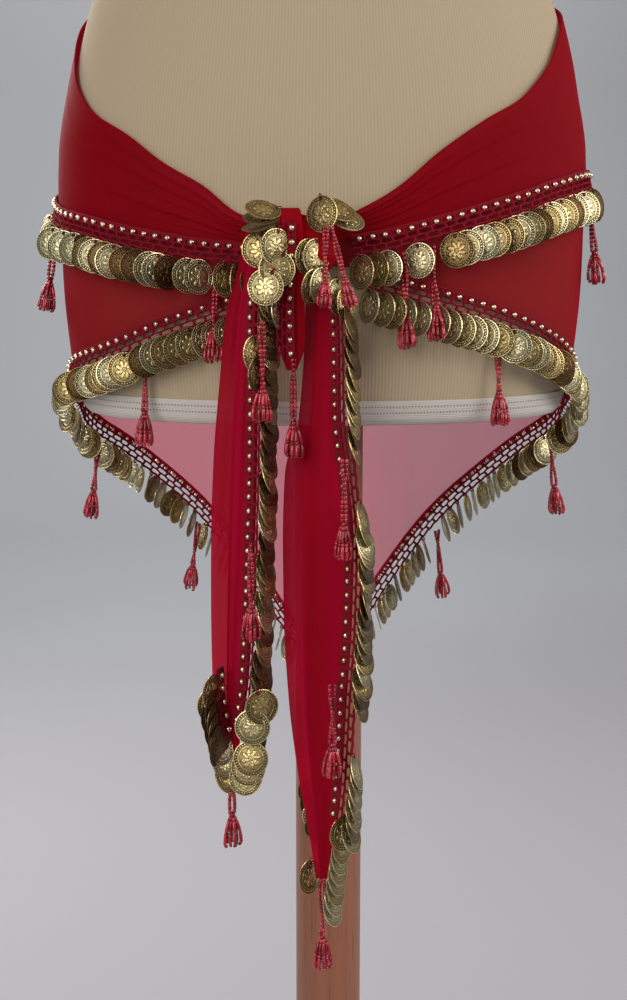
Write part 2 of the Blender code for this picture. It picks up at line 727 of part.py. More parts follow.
def tassel_mesh():
    """One tassel with its stem's top at the origin: stem, head and spread strands, joined into one body."""
    parts = []

    def tube(low_centre, low_radius, high_centre, high_radius, sides):
        shape = bmesh.new()
        rings = []
        for centre, radius in ((low_centre, low_radius), (high_centre, high_radius)):
            rings.append(
                [
                    shape.verts.new(
                        (
                            centre[0] + radius * math.cos(2 * math.pi * s / sides),
                            centre[1] + radius * math.sin(2 * math.pi * s / sides),
                            centre[2],
                        )
                    )
                    for s in range(sides)
                ]
            )
        for s in range(sides):
            nxt = (s + 1) % sides
            shape.faces.new((rings[0][s], rings[0][nxt], rings[1][nxt], rings[1][s]))
        shape.faces.new(rings[0][::-1])
        shape.faces.new(rings[1])
        bmesh.ops.recalc_face_normals(shape, faces=shape.faces)
        mesh = bpy.data.meshes.new("tassel_piece")
        shape.to_mesh(mesh)
        shape.free()
        made = bpy.data.objects.new("tassel_piece", mesh)
        bpy.context.scene.collection.objects.link(made)
        parts.append(made)
        return made

    head_top, head_bottom = -STEM_LENGTH, -STEM_LENGTH - HEAD_HEIGHT
    head = tube((0, 0, head_bottom), HEAD_RADIUS, (0, 0, head_top), STEM_RADIUS * 1.3, STRANDS)
    tube((0, 0, head_top - 1 * MM), STEM_RADIUS, (0, 0, 0), STEM_RADIUS, STEM_SIDES)
    for s in range(STRANDS):
        angle = 2 * math.pi * s / STRANDS
        root = HEAD_RADIUS * 0.5
        length = STRAND_LENGTH * (1 - 0.12 * (s % 3))
        low = (STRAND_SPREAD * math.cos(angle), STRAND_SPREAD * math.sin(angle), head_bottom - length)
        high = (root * math.cos(angle), root * math.sin(angle), head_bottom + 1 * MM)
        tube(low, STRAND_RADIUS, high, STRAND_RADIUS * 0.9, STRAND_SIDES)
    for other in parts[1:]:
        join = head.modifiers.new("Join", "BOOLEAN")
        join.operation = "UNION"
        join.solver = "EXACT"
        join.object = other
    view = bpy.context.evaluated_depsgraph_get()
    view.update()
    mesh = bpy.data.meshes.new_from_object(head.evaluated_get(view))
    mesh.name = "tassel"
    for made in parts:
        bpy.data.objects.remove(made)
    mesh.materials.clear()
    mesh.materials.append(material("beads"))
    return mesh


def build_tassels(anchors):
    """Hangs the same tassel under each anchor, just clear of the trim and turned a little each time."""
    mesh = tassel_mesh()
    for number, (point, outward, lean) in enumerate(anchors, 1):
        made = place(f"tassel_{number:02d}", mesh, "beads", round_faces=False)
        level = Vector((outward[0], outward[1], 0)).normalized()
        angle = math.radians(lean)
        down = (level * math.sin(angle) - Vector((0, 0, math.cos(angle)))).normalized()
        made.location = Vector(point) + down * TASSEL_BELOW_TRIM
        made.rotation_mode = "QUATERNION"
        made.rotation_quaternion = down.to_track_quat("-Z", "Y")


COLLECTION = "belly_dance_hip_scarf"


def main():
    """Builds the form, the scarf, its trims and its tassels."""
    for old in list(bpy.data.objects):
        bpy.data.objects.remove(old)
    bpy.context.scene.collection.children.link(bpy.data.collections.new(COLLECTION))
    build_form()
    build_hem_band()
    build_stand()
    build_wrap()
    build_overlay()
    build_knot()
    build_tail("tail_left", LEFT_TAIL)
    build_tail("tail_right", RIGHT_TAIL)
    anchors = wrap_trim("hem", HEM_TRIM_OUT, -158, 168, HEM_COIN_TILT)
    anchors += wrap_trim("overlay", OVERLAY_TRIM_OUT, -163, 172, OVERLAY_COIN_TILT)
    tail_trim("trim_tail_left", LEFT_TAIL, 1, 0.810, 0.555, LEFT_TRIM_TURN)
    tail_trim("trim_tail_left_tip", LEFT_TAIL, -1, 0.600, 0.555, RIGHT_TRIM_TURN, inset=6 * MM, width=6 * MM)
    tail_trim("trim_tail_right", RIGHT_TAIL, 1, 0.825, 0.480, RIGHT_TRIM_TURN, inset=3 * MM)
    tail_trim("trim_tail_right_tip", RIGHT_TAIL, -1, 0.530, 0.500, RIGHT_TRIM_TURN, inset=4 * MM, width=5 * MM)
    build_strand()
    build_knot_coins()
    front = (0, -1, 0)
    anchors += [
        ((STRAND_X, STRAND_Y, STRAND_BOTTOM), front, 7),
        ((-0.0578, LEFT_TAIL[-1].y, LEFT_TAIL[-1].z), front, 0),
        ((-0.0003, RIGHT_TAIL[-1].y, RIGHT_TAIL[-1].z), front, 0),
    ]
    anchors += [(tuple(row), front, 0) for row in TAIL_TASSELS]
    build_tassels(anchors)


main()
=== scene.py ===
"""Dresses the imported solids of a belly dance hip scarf, tied in front round a limbless dress form.

Metres, +Z up. The front of the form faces -Y and +X is the viewer's right.
Every piece is a surface worked out in numpy on the form of the solid that it stands for.
"""

import logging
import math
from collections.abc import Callable, Sequence
from dataclasses import dataclass, field, replace
from enum import Enum

import bpy
import numpy as np
from mathutils import Matrix, Vector


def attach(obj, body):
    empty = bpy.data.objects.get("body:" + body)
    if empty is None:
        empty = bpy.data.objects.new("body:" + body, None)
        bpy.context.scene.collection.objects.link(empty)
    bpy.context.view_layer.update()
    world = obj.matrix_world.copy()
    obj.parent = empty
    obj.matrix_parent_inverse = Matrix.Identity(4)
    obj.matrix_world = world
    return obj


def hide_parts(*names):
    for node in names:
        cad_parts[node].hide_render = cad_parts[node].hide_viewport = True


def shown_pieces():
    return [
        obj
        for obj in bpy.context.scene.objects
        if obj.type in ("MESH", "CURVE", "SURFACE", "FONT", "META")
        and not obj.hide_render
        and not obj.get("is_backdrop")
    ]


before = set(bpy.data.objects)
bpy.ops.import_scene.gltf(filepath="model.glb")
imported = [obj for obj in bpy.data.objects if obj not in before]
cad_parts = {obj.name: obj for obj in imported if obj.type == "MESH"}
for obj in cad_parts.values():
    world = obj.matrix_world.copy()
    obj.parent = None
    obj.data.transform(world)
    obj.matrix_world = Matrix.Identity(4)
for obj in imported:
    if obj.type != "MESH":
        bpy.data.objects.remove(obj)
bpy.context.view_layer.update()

Array = np.ndarray
MM = 0.001
# A full turn in radians
TURN = 6.28318
log = logging.getLogger("hip_scarf")


class Slot(Enum):
    """The record's material slots."""

    CHIFFON = "chiffon"
    TRIM = "coin_trim"
    BEADS = "beads"
    JERSEY = "jersey"
    ELASTIC = "elastic"
    WOOD = "wood"


class Held(Enum):
    """How a sheet of cloth is held."""

    DRAPED = "draped"
    GATHERED = "gathered"


class Edge(Enum):
    """The edges of the scarf, by their column in the table of heights."""

    TOP = 1
    OVERLAY = 2
    HEM = 3


# numbers shared with the solids

FORM_ROWS = np.array([
    (0.745, 0.1625, 0.1085, 0.004), (0.749, 0.1660, 0.1120, 0.004), (0.780, 0.1725, 0.1160, 0.005),
    (0.830, 0.1765, 0.1180, 0.006), (0.875, 0.1775, 0.1170, 0.006), (0.920, 0.1760, 0.1130, 0.005),
    (0.960, 0.1690, 0.1070, 0.003), (1.000, 0.1595, 0.1000, 0.001), (1.050, 0.1435, 0.0930, 0.000),
    (1.100, 0.1310, 0.0880, -0.002), (1.150, 0.1330, 0.0910, -0.006), (1.200, 0.1420, 0.1030, -0.012),
    (1.245, 0.1500, 0.1170, -0.018), (1.290, 0.1540, 0.1130, -0.014), (1.330, 0.1620, 0.0990, -0.005),
    (1.370, 0.1690, 0.0840, 0.003), (1.405, 0.1670, 0.0700, 0.008), (1.430, 0.1420, 0.0600, 0.010),
    (1.450, 0.1030, 0.0540, 0.010), (1.466, 0.0720, 0.0520, 0.008), (1.485, 0.0570, 0.0520, 0.006),
    (1.520, 0.0530, 0.0510, 0.004),
])
EDGE_ROWS = np.array([
    (-170, 0.8670, 0.8570, 0.8400), (-163, 0.8705, 0.8572, 0.8330), (-155, 0.8770, 0.8585, 0.8270),
    (-146, 0.8930, 0.8605, 0.8205), (-135, 0.9080, 0.8650, 0.8110), (-125, 0.9260, 0.8700, 0.8005),
    (-115, 0.9400, 0.8760, 0.7915), (-105, 0.9620, 0.8810, 0.7840), (-98, 0.9850, 0.8860, 0.7755),
    (-90, 1.0040, 0.8910, 0.7590), (-80, 1.0180, 0.8950, 0.7385), (-66, 1.0280, 0.8930, 0.7160),
    (-50, 1.0360, 0.8800, 0.6790), (-36, 1.0400, 0.8650, 0.6415), (-22, 1.0430, 0.8475, 0.5980),
    (-10, 1.0440, 0.8330, 0.5570), (0, 1.0450, 0.8260, 0.5380), (10, 1.0440, 0.8330, 0.5570),
    (22, 1.0430, 0.8475, 0.5980), (36, 1.0400, 0.8650, 0.6415), (50, 1.0360, 0.8800, 0.6790),
    (66, 1.0300, 0.8950, 0.7160), (80, 1.0220, 0.9030, 0.7385), (90, 1.0140, 0.9060, 0.7590),
    (100, 1.0020, 0.9060, 0.7810), (107, 0.9870, 0.9040, 0.7910), (112, 0.9730, 0.9010, 0.7980),
    (118, 0.9590, 0.8972, 0.8055), (124, 0.9470, 0.8920, 0.8120), (133, 0.9350, 0.8850, 0.8205),
    (147, 0.9130, 0.8750, 0.8305), (156, 0.8960, 0.8695, 0.8365), (162, 0.8870, 0.8660, 0.8400),
    (169, 0.8790, 0.8635, 0.8435), (176, 0.8720, 0.8605, 0.8450), (187, 0.8680, 0.8580, 0.8460),
])
# Turn, width in degrees and depth in mm of the back panel's folds
BACK_FOLDS = np.array([
    (-72, 9, 4.5), (-47, 11, -4.0), (-25, 10, 3.8), (-4, 12, -2.8), (18, 11, 3.4), (42, 12, -3.2),
    (68, 10, 4.5),
])
LEFT_KNOT_TURN, RIGHT_KNOT_TURN = -170.0, 187.0
KNOT_CENTRE = np.array((-0.0170, -0.1340, 0.8560))
KNOT_HALF_SIZE = np.array((0.0265, 0.0182, 0.0215))
# Height, left edge, right edge, middle and fold depth of the tails' sections
LEFT_TAIL = np.array([
    (0.8427, -0.0520, -0.0380, -0.1345, 0.0015), (0.8140, -0.0595, -0.0400, -0.1365, 0.0025),
    (0.7800, -0.0630, -0.0400, -0.1375, 0.0035), (0.7300, -0.0675, -0.0405, -0.1390, 0.0045),
    (0.6800, -0.0695, -0.0420, -0.1420, 0.0045), (0.6300, -0.0700, -0.0440, -0.1435, 0.0040),
    (0.5900, -0.0695, -0.0465, -0.1440, 0.0032), (0.5600, -0.0665, -0.0510, -0.1440, 0.0014),
    (0.5400, -0.0620, -0.0535, -0.1440, 0.0003),
])
RIGHT_TAIL = np.array([
    (0.8351, -0.0105, 0.0085, -0.1345, 0.0015), (0.8000, -0.0115, 0.0100, -0.1400, 0.0030),
    (0.7550, -0.0150, 0.0108, -0.1460, 0.0040), (0.7200, -0.0235, 0.0150, -0.1500, 0.0050),
    (0.6800, -0.0248, 0.0185, -0.1530, 0.0055), (0.6300, -0.0243, 0.0175, -0.1540, 0.0050),
    (0.5800, -0.0215, 0.0145, -0.1545, 0.0045), (0.5300, -0.0155, 0.0120, -0.1545, 0.0030),
    (0.4900, -0.0085, 0.0080, -0.1545, 0.0012), (0.4620, -0.0045, 0.0040, -0.1545, 0.0003),
])
TASSEL_COUNT = 23
# Power of the form's superellipse sections
FORM_POWER = 2.15
# Way down below the form over which the back panel's folds grow
FOLDS_GROW_OVER = 0.10
COIN_RADIUS = 11 * MM
# The hole's distance from a coin's middle, as a share of its radius
COIN_HOLE = 0.80


# numpy shapes


def smooth(at: Array | float, places: Array, values: Array) -> Array:
    """Reads a table between its rows.

    A monotone cubic whose slope at a row is the harmonic mean of the slopes beside it.

    Args:
        at: where the table is read.
        places: the rows' places, rising.
        values: the rows' values.

    Returns:
        The values there, held at the table's ends.
    """
    places, values = np.asarray(places, float), np.asarray(values, float)
    step = np.diff(places)
    rise = np.diff(values) / step
    slope = np.zeros(len(values))
    slope[0], slope[-1] = rise[0], rise[-1]
    same_way = rise[:-1] * rise[1:] > 0
    total = np.where(same_way, rise[:-1] + rise[1:], 1.0)
    slope[1:-1] = np.where(same_way, 2 * rise[:-1] * rise[1:] / total, 0.0)
    at = np.clip(at, places[0], places[-1])
    i = np.clip(np.searchsorted(places, at) - 1, 0, len(step) - 1)
    t = (at - places[i]) / step[i]
    start = (1 + 2 * t) * (1 - t) ** 2 * values[i] + t * (1 - t) ** 2 * step[i] * slope[i]
    end = t * t * (3 - 2 * t) * values[i + 1] + t * t * (t - 1) * step[i] * slope[i + 1]
    return start + end


def unit(vectors: Array) -> Array:
    """Each vector divided by its length."""
    return vectors / np.maximum(np.linalg.norm(vectors, axis=-1, keepdims=True), 1e-12)


def run_along(path: Array) -> Array:
    """Distance from a path's start to each of its points."""
    return np.concatenate([[0], np.cumsum(np.linalg.norm(np.diff(path, axis=0), axis=1))])


def together(*arrays: Array) -> Array:
    """Arrays stretched to one shape and set side by side along a new last axis."""
    return np.stack(np.broadcast_arrays(*arrays), -1)


def circle(count: int) -> Array:
    """Angles that divide a circle evenly."""
    return 2 * np.pi * np.arange(count) / count


def around_form(turn: Array, z: Array, out: Array | float, hangs: bool = True) -> Array:
    """Points round the form: the section is a superellipse whose half sizes grow by out.

    Args:
        turn: degrees from the centre of the back.
        z: heights.
        out: distance out from the form's skin.
        hangs: whether the surface hangs straight down below the form, as cloth does.

    Returns:
        The points, with x, y and z along the last axis.
    """
    turn, z, out = np.broadcast_arrays(turn, z, out)
    level = np.maximum(z, FORM_ROWS[1, 0]) if hangs else z
    half_width = smooth(level, FORM_ROWS[:, 0], FORM_ROWS[:, 1]) + out
    half_depth = smooth(level, FORM_ROWS[:, 0], FORM_ROWS[:, 2]) + out
    across, along = np.sin(np.radians(turn)), np.cos(np.radians(turn))
    total = abs(across / half_width) ** FORM_POWER + abs(along / half_depth) ** FORM_POWER
    reach = total ** (-1 / FORM_POWER)
    middle = smooth(level, FORM_ROWS[:, 0], FORM_ROWS[:, 3])
    return np.stack([reach * across, middle + reach * along, z], -1)


def edge_height(edge: Edge, turn: Array) -> Array:
    """Height of one of the scarf's edges at each turn."""
    return smooth(turn, EDGE_ROWS[:, 0], EDGE_ROWS[:, edge.value])


def back_fold(turn: Array, z: Array) -> Array:
    """How far the back panel's folds stand out: bell curves of the turn that grow below the form."""
    grown = np.clip((FORM_ROWS[0, 0] - z) / FOLDS_GROW_OVER, 0.0, 1.0)
    bells = np.exp(-(((np.asarray(turn)[..., None] - BACK_FOLDS[:, 0]) / BACK_FOLDS[:, 1]) ** 2))
    return grown * (bells @ BACK_FOLDS[:, 2]) * MM


@dataclass
class Shape:
    """A mesh in the making: points, blocks of faces, flat pattern places and a shade for each point."""

    points: Array
    faces: list[Array]
    uv: Array
    shade: Array

    def corner_uv(self) -> Array:
        """Pattern places of the faces' corners, which go on past 1 round a closed ring."""
        corners = []
        for block in self.faces:
            uv = self.uv[block].astype(float)
            wraps = (np.ptp(uv[..., 0], axis=1) > 0.5) & (block.shape[1] == 4)
            uv[..., 0] += wraps[:, None] & (uv[..., 0] < 0.5)
            corners.append(uv.reshape(-1, 2))
        return np.concatenate(corners)

    @property
    def area(self) -> float:
        """Area of the four-cornered faces, each as two triangles."""
        total = 0.0
        for block in self.faces:
            corners = self.points[block]
            for k in range(1, block.shape[1] - 1):
                cross = np.cross(corners[:, k] - corners[:, 0], corners[:, k + 1] - corners[:, 0])
                total += float(np.linalg.norm(cross, axis=1).sum()) / 2
        return total


def grid(
    points: Array, uv: Array, round_rows: bool = False, ends: bool = False, shade: float = 0.5
) -> Shape:
    """A surface of two parameters: faces join neighbours in a grid of points.

    Args:
        points: rows by columns by 3.
        uv: rows by columns by 2.
        round_rows: whether each row is a closed ring.
        ends: whether the first and the last ring are closed by a face.
        shade: the shade of every point.

    Returns:
        The shape. Faces turn outwards where columns run anticlockwise seen from above and rows run upwards.
    """
    rows, columns = points.shape[:2]
    index = np.arange(rows * columns).reshape(rows, columns)
    if round_rows:
        index = np.concatenate([index, index[:, :1]], 1)
    quads = np.stack([index[:-1, :-1], index[:-1, 1:], index[1:, 1:], index[1:, :-1]], -1).reshape(-1, 4)
    faces = [quads]
    if ends:
        ring = index[:, :columns]
        faces += [ring[:1, ::-1].copy(), ring[-1:].copy()]
    return Shape(points.reshape(-1, 3), faces, uv.reshape(-1, 2), np.full(rows * columns, shade))


def joined(shapes: Sequence[Shape]) -> Shape:
    """Several shapes as one."""
    first = np.cumsum([0] + [len(s.points) for s in shapes])
    faces = [block + start for s, start in zip(shapes, first) for block in s.faces]
    return Shape(
        np.concatenate([s.points for s in shapes]),
        faces,
        np.concatenate([s.uv for s in shapes]),
        np.concatenate([s.shade for s in shapes]),
    )


def stamped(unit_shape: Shape, axes: Array, places: Array, shades: Array) -> Shape:
    """The same small shape set down many times: point = place + x * first axis + y * second + z * third.

    Args:
        unit_shape: the shape that is repeated.
        axes: for each copy three axes, one in each row.
        places: for each copy its origin.
        shades: for each copy its shade.

    Returns:
        All the copies as one shape.
    """
    count, size = len(places), len(unit_shape.points)
    points = np.einsum("pi,kij->kpj", unit_shape.points, axes) + places[:, None, :]
    starts = (np.arange(count) * size)[:, None, None]
    faces = [(block[None] + starts).reshape(-1, block.shape[1]) for block in unit_shape.faces]
    shade = shades[:, None] + unit_shape.shade[None] - 0.5
    return Shape(points.reshape(-1, 3), faces, np.tile(unit_shape.uv, (count, 1)), shade.reshape(-1))


def lathe(profile: Array, sides: int, centre: Array, shade: float = 0.5) -> Shape:
    """A turned shape: rings of the profile's radius at its heights, from the bottom up, closed at both ends.

    Args:
        profile: rows of radius and height.
        sides: points round each ring.
        centre: where the axis stands.
        shade: the shade of every point.

    Returns:
        The closed shape.
    """
    angle = circle(sides)
    radius, height = profile[:, :1], profile[:, 1:]
    points = together(radius * np.cos(angle), radius * np.sin(angle), height) + centre
    length = run_along(profile)
    uv = together(angle[None] / (2 * np.pi), length[:, None])
    return grid(points, uv, True, True, shade)


def tube(path: Array, radius: Array | float, sides: int, toward: Array) -> Shape:
    """A round section carried along a path and closed at its ends.

    Args:
        path: the points of the middle line.
        radius: the section's radius, or one for each point.
        sides: points round the section.
        toward: a direction that isn't along the path, which the section's first point faces.

    Returns:
        The closed shape, with distance along it in the pattern's second place.
    """
    tangent = unit(np.gradient(path, axis=0))
    sideways = unit(np.cross(tangent, np.broadcast_to(toward, path.shape)))
    facing = np.cross(sideways, tangent)
    angle = circle(sides)
    rim = np.cos(angle)[:, None] * facing[:, None] + np.sin(angle)[:, None] * sideways[:, None]
    points = path[:, None] + rim * np.broadcast_to(radius, len(path))[:, None, None]
    length = run_along(path)
    uv = together(angle[None] / (2 * np.pi), length[:, None])
    return grid(points, uv, True, True)


def wobble(at: Array, seed: int, waves: int = 4) -> Array:
    """An uneven curve between -1 and 1: a few sines whose lengths and starts come from the seed."""
    chance = np.random.default_rng(seed)
    rates, starts = chance.uniform(0.4, 2.2, waves), chance.uniform(0, 2 * np.pi, waves)
    return np.sin(np.asarray(at)[..., None] * rates + starts).mean(-1)


def build_object(
    name: str, shape: Shape, finish: bpy.types.Material, slot: Slot, *nodes: str, sharp: float | None = None
) -> bpy.types.Object:
    """Args:
        name: the piece's name.
        shape: its shape.
        finish: its material.
        slot: the record's slot for the piece; not used.
        nodes: the solids that it stands for.
        sharp: the angle in degrees from which an edge stays sharp, or None for an all smooth one.

    Returns:
        The object, which rides on the root body.
    """
    mesh = bpy.data.meshes.new(name)
    mesh.from_pydata(shape.points.tolist(), [], [face for block in shape.faces for face in block.tolist()])
    mesh.uv_layers.new(name="UVMap").data.foreach_set("uv", shape.corner_uv().astype(np.float32).ravel())
    shades = mesh.attributes.new("shade", "FLOAT", "POINT")
    shades.data.foreach_set("value", shape.shade.astype(np.float32))
    mesh.materials.append(finish)
    mesh.shade_smooth()
    if sharp is not None:
        mesh.set_sharp_from_angle(angle=math.radians(sharp))
    made = bpy.data.objects.new(name, mesh)
    bpy.context.scene.collection.objects.link(made)
    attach(made, "root")
    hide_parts(*nodes)
    return made


# finishes


def maths(operation: str, swapped: bool = False) -> Callable:
    """A method of Wire that adds a Math node.

    Args:
        operation: the node's operation.
        swapped: whether the values are taken in the other order.

    Returns:
        The method.
    """

    def method(self: "Wire", *others: "Wire | float") -> "Wire":
        """The node's result for this socket and the other values."""
        values = (self, *others)
        return self.graph.math(operation, *(values[::-1] if swapped else values))

    return method


class Wire:
    """A socket that can be written in sums: each operator adds a Math node."""

    def __init__(self, graph: "Graph", socket: bpy.types.NodeSocket) -> None:
        """Keeps the graph and the socket."""
        self.graph, self.socket = graph, socket

    __add__ = __radd__ = maths("ADD")
    __mul__ = __rmul__ = maths("MULTIPLY")
    __sub__ = maths("SUBTRACT")
    __rsub__ = maths("SUBTRACT", swapped=True)
    __truediv__ = maths("DIVIDE")
    __pow__ = maths("POWER")
    __rpow__ = maths("POWER", swapped=True)
    sine = maths("SINE")
    size = maths("ABSOLUTE")
    fraction = maths("FRACT")

    def between(self, low: float, high: float) -> "Wire":
        """0 below low, 1 above high and a soft step between."""
        inputs = {"Value": self, "From Min": low, "From Max": high}
        return self.graph.node("ShaderNodeMapRange", {"interpolation_type": "SMOOTHSTEP"}, inputs)

    def near(self, place: float, width: float) -> "Wire":
        """1 at a place and 0 from a width away on either side."""
        return 1.0 - (self - place).size().between(width * 0.35, width)


class Graph:
    """The nodes of one material."""

    def __init__(self, name: str) -> None:
        """Makes the material with its usual shader."""
        self.material = bpy.data.materials.new(name)
        self.material.use_nodes = True
        self.tree = self.material.node_tree
        self.shader = self.tree.nodes["Principled BSDF"]
        self.output = self.tree.nodes["Material Output"]

    def node(
        self, kind: str, settings: dict | None = None, inputs: dict | None = None, out: int | str = 0
    ) -> Wire:
        """Adds a node.

        Args:
            kind: the node's type.
            settings: properties of the node, set first.
            inputs: values or wires by the input's name or place.
            out: which output is wanted.

        Returns:
            That output.
        """
        made = self.tree.nodes.new(kind)
        for key, value in (settings or {}).items():
            setattr(made, key, value)
        for key, value in (inputs or {}).items():
            self.feed(made.inputs[key], value)
        return Wire(self, made.outputs[out])

    def math(self, operation: str, *values: Wire | float) -> Wire:
        """One Math node on these values."""
        return self.node("ShaderNodeMath", {"operation": operation}, dict(enumerate(values)))

    def feed(self, socket: bpy.types.NodeSocket, value: object) -> None:
        """Links a wire to a socket, or sets a plain value on it."""
        if isinstance(value, Wire):
            self.tree.links.new(value.socket, socket)
        else:
            socket.default_value = value

    def principled(self, **inputs: object) -> None:
        """Sets the shader's inputs, named with _ for each blank."""
        for key, value in inputs.items():
            self.feed(self.shader.inputs[key.replace("_", " ").title().replace("Ior", "IOR")], value)

    def place(self) -> Wire:
        """The point in the object's own space."""
        return self.node("ShaderNodeTexCoord", out="Object")

    def pattern(self) -> tuple[Wire, Wire]:
        """The two places of the piece's flat pattern."""
        parts = self.tree.nodes.new("ShaderNodeSeparateXYZ")
        self.feed(parts.inputs[0], self.node("ShaderNodeUVMap", {"uv_map": "UVMap"}))
        return Wire(self, parts.outputs[0]), Wire(self, parts.outputs[1])

    def shade(self) -> Wire:
        """The shade that each point carries."""
        return self.node("ShaderNodeAttribute", {"attribute_name": "shade"}, out="Fac")

    def noise(self, scale: float, detail: float = 2.0, vector: Wire | None = None) -> Wire:
        """A noise pattern about 0.5."""
        inputs = {"Vector": vector or self.place(), "Scale": scale, "Detail": detail}
        return self.node("ShaderNodeTexNoise", None, inputs)

    def blend(self, share: Wire | float, first: object, second: object) -> Wire:
        """A colour between two colours."""
        made = self.tree.nodes.new("ShaderNodeMix")
        made.data_type = "RGBA"
        for socket, value in zip((made.inputs[0], made.inputs[6], made.inputs[7]), (share, first, second)):
            self.feed(socket, value)
        return Wire(self, made.outputs[2])

    def bump(self, height: Wire, distance: float, strength: float = 1.0) -> Wire:
        """A normal from a height."""
        inputs = {"Height": height, "Distance": distance, "Strength": strength}
        return self.node("ShaderNodeBump", None, inputs, "Normal")


Colour = tuple[float, float, float, float]


@dataclass(frozen=True)
class Finish:
    """A finish: its name, and colours and measures in each kind."""

    name: str

    def build(self) -> bpy.types.Material:
        """Builds the material."""
        g = Graph(self.name)
        self.draw(g)
        return g.material

    def draw(self, g: Graph) -> None:
        """Adds the nodes of this kind of finish."""


@dataclass(frozen=True)
class Chiffon(Finish):
    """Sheer crinkled cloth: one layer lets part of the light through, and less where it is seen aslant."""

    name: str = "red chiffon"
    light: Colour = (0.66, 0.004, 0.060, 1.0)
    deep: Colour = (0.335, 0.0008, 0.0080, 1.0)
    cover: float = 0.44
    glow: float = 0.30

    def draw(self, g: Graph) -> None:
        """Adds the nodes.

        Cover = 1 - (1 - one layer's cover) to the power of the layers, where the layers are
        twice the shade and grow with the square of how far the surface turns away.
        """
        facing = g.node("ShaderNodeLayerWeight", None, {"Blend": 0.5}, "Facing")
        layers = g.shade() * 2.0 * (facing * facing * 1.3 + 1.0)
        weave = g.noise(900.0, 2.0)
        cover = 1.0 - (1.0 - self.cover) ** (layers * (weave * 0.30 + 0.85))
        cloud = g.noise(14.0, 3.0) * 0.25
        # The tone deepens with the shade, which counts layers; on the wrap's hips that shade is raised
        # partly as painted shade.
        tone = (g.shade() + cloud - 0.125).between(0.45, 1.0)
        g.principled(
            base_color=g.blend(tone, self.light, self.deep),
            roughness=0.70,
            alpha=cover,
            sheen_weight=0.03,
            sheen_roughness=0.45,
            sheen_tint=(1.0, 0.10, 0.16, 1.0),
            normal=g.bump(weave + g.noise(160.0, 3.0) * 1.5, 0.0004, 0.35),
            specular_ior_level=0.08,
        )
        through = g.node("ShaderNodeBsdfTranslucent", None, {"Color": self.light})
        inputs = {0: self.glow, 1: Wire(g, g.shader.outputs[0]), 2: through}
        g.feed(g.output.inputs[0], g.node("ShaderNodeMixShader", None, inputs))


# Denser chiffon for the tails, the knot and the strand; its deep colour is lighter than the plain chiffon's,
# as painted light shining through the folds.
FOLDED_CHIFFON_WITH_PAINTED_LIGHT = Chiffon(
    name="red chiffon in folds with painted light",
    light=(0.58, 0.0030, 0.046, 1.0),
    deep=(0.40, 0.0009, 0.0090, 1.0),
    cover=0.87,
    glow=0.36,
)


@dataclass(frozen=True)
class Crochet(Finish):
    """Dark red cotton thread: twisted plies across the cord and a fuzzy nap."""

    name: str = "crochet thread"
    light: Colour = (0.36, 0.0020, 0.024, 1.0)
    deep: Colour = (0.140, 0.0010, 0.008, 1.0)

    def draw(self, g: Graph) -> None:
        """Adds the nodes: the plies are a sine of the angle round the cord plus the distance along it."""
        u, v = g.pattern()
        plies = (u * (2 * TURN) + v * 4200.0).sine() * 0.5 + 0.5
        fuzz = g.noise(2600.0, 2.0)
        cloud = g.noise(220.0, 2.0)
        # Between the plies the colour is painted darker, as painted shade; the cloud is the thread's own
        # uneven tone.
        g.principled(
            base_color=g.blend((plies * 0.55 + cloud * 0.6).between(0.15, 1.0), self.deep, self.light),
            roughness=0.85,
            sheen_weight=0.08,
            sheen_tint=(1.0, 0.20, 0.25, 1.0),
            normal=g.bump(plies + fuzz * 0.8, 0.0005, 0.8),
            specular_ior_level=0.2,
        )


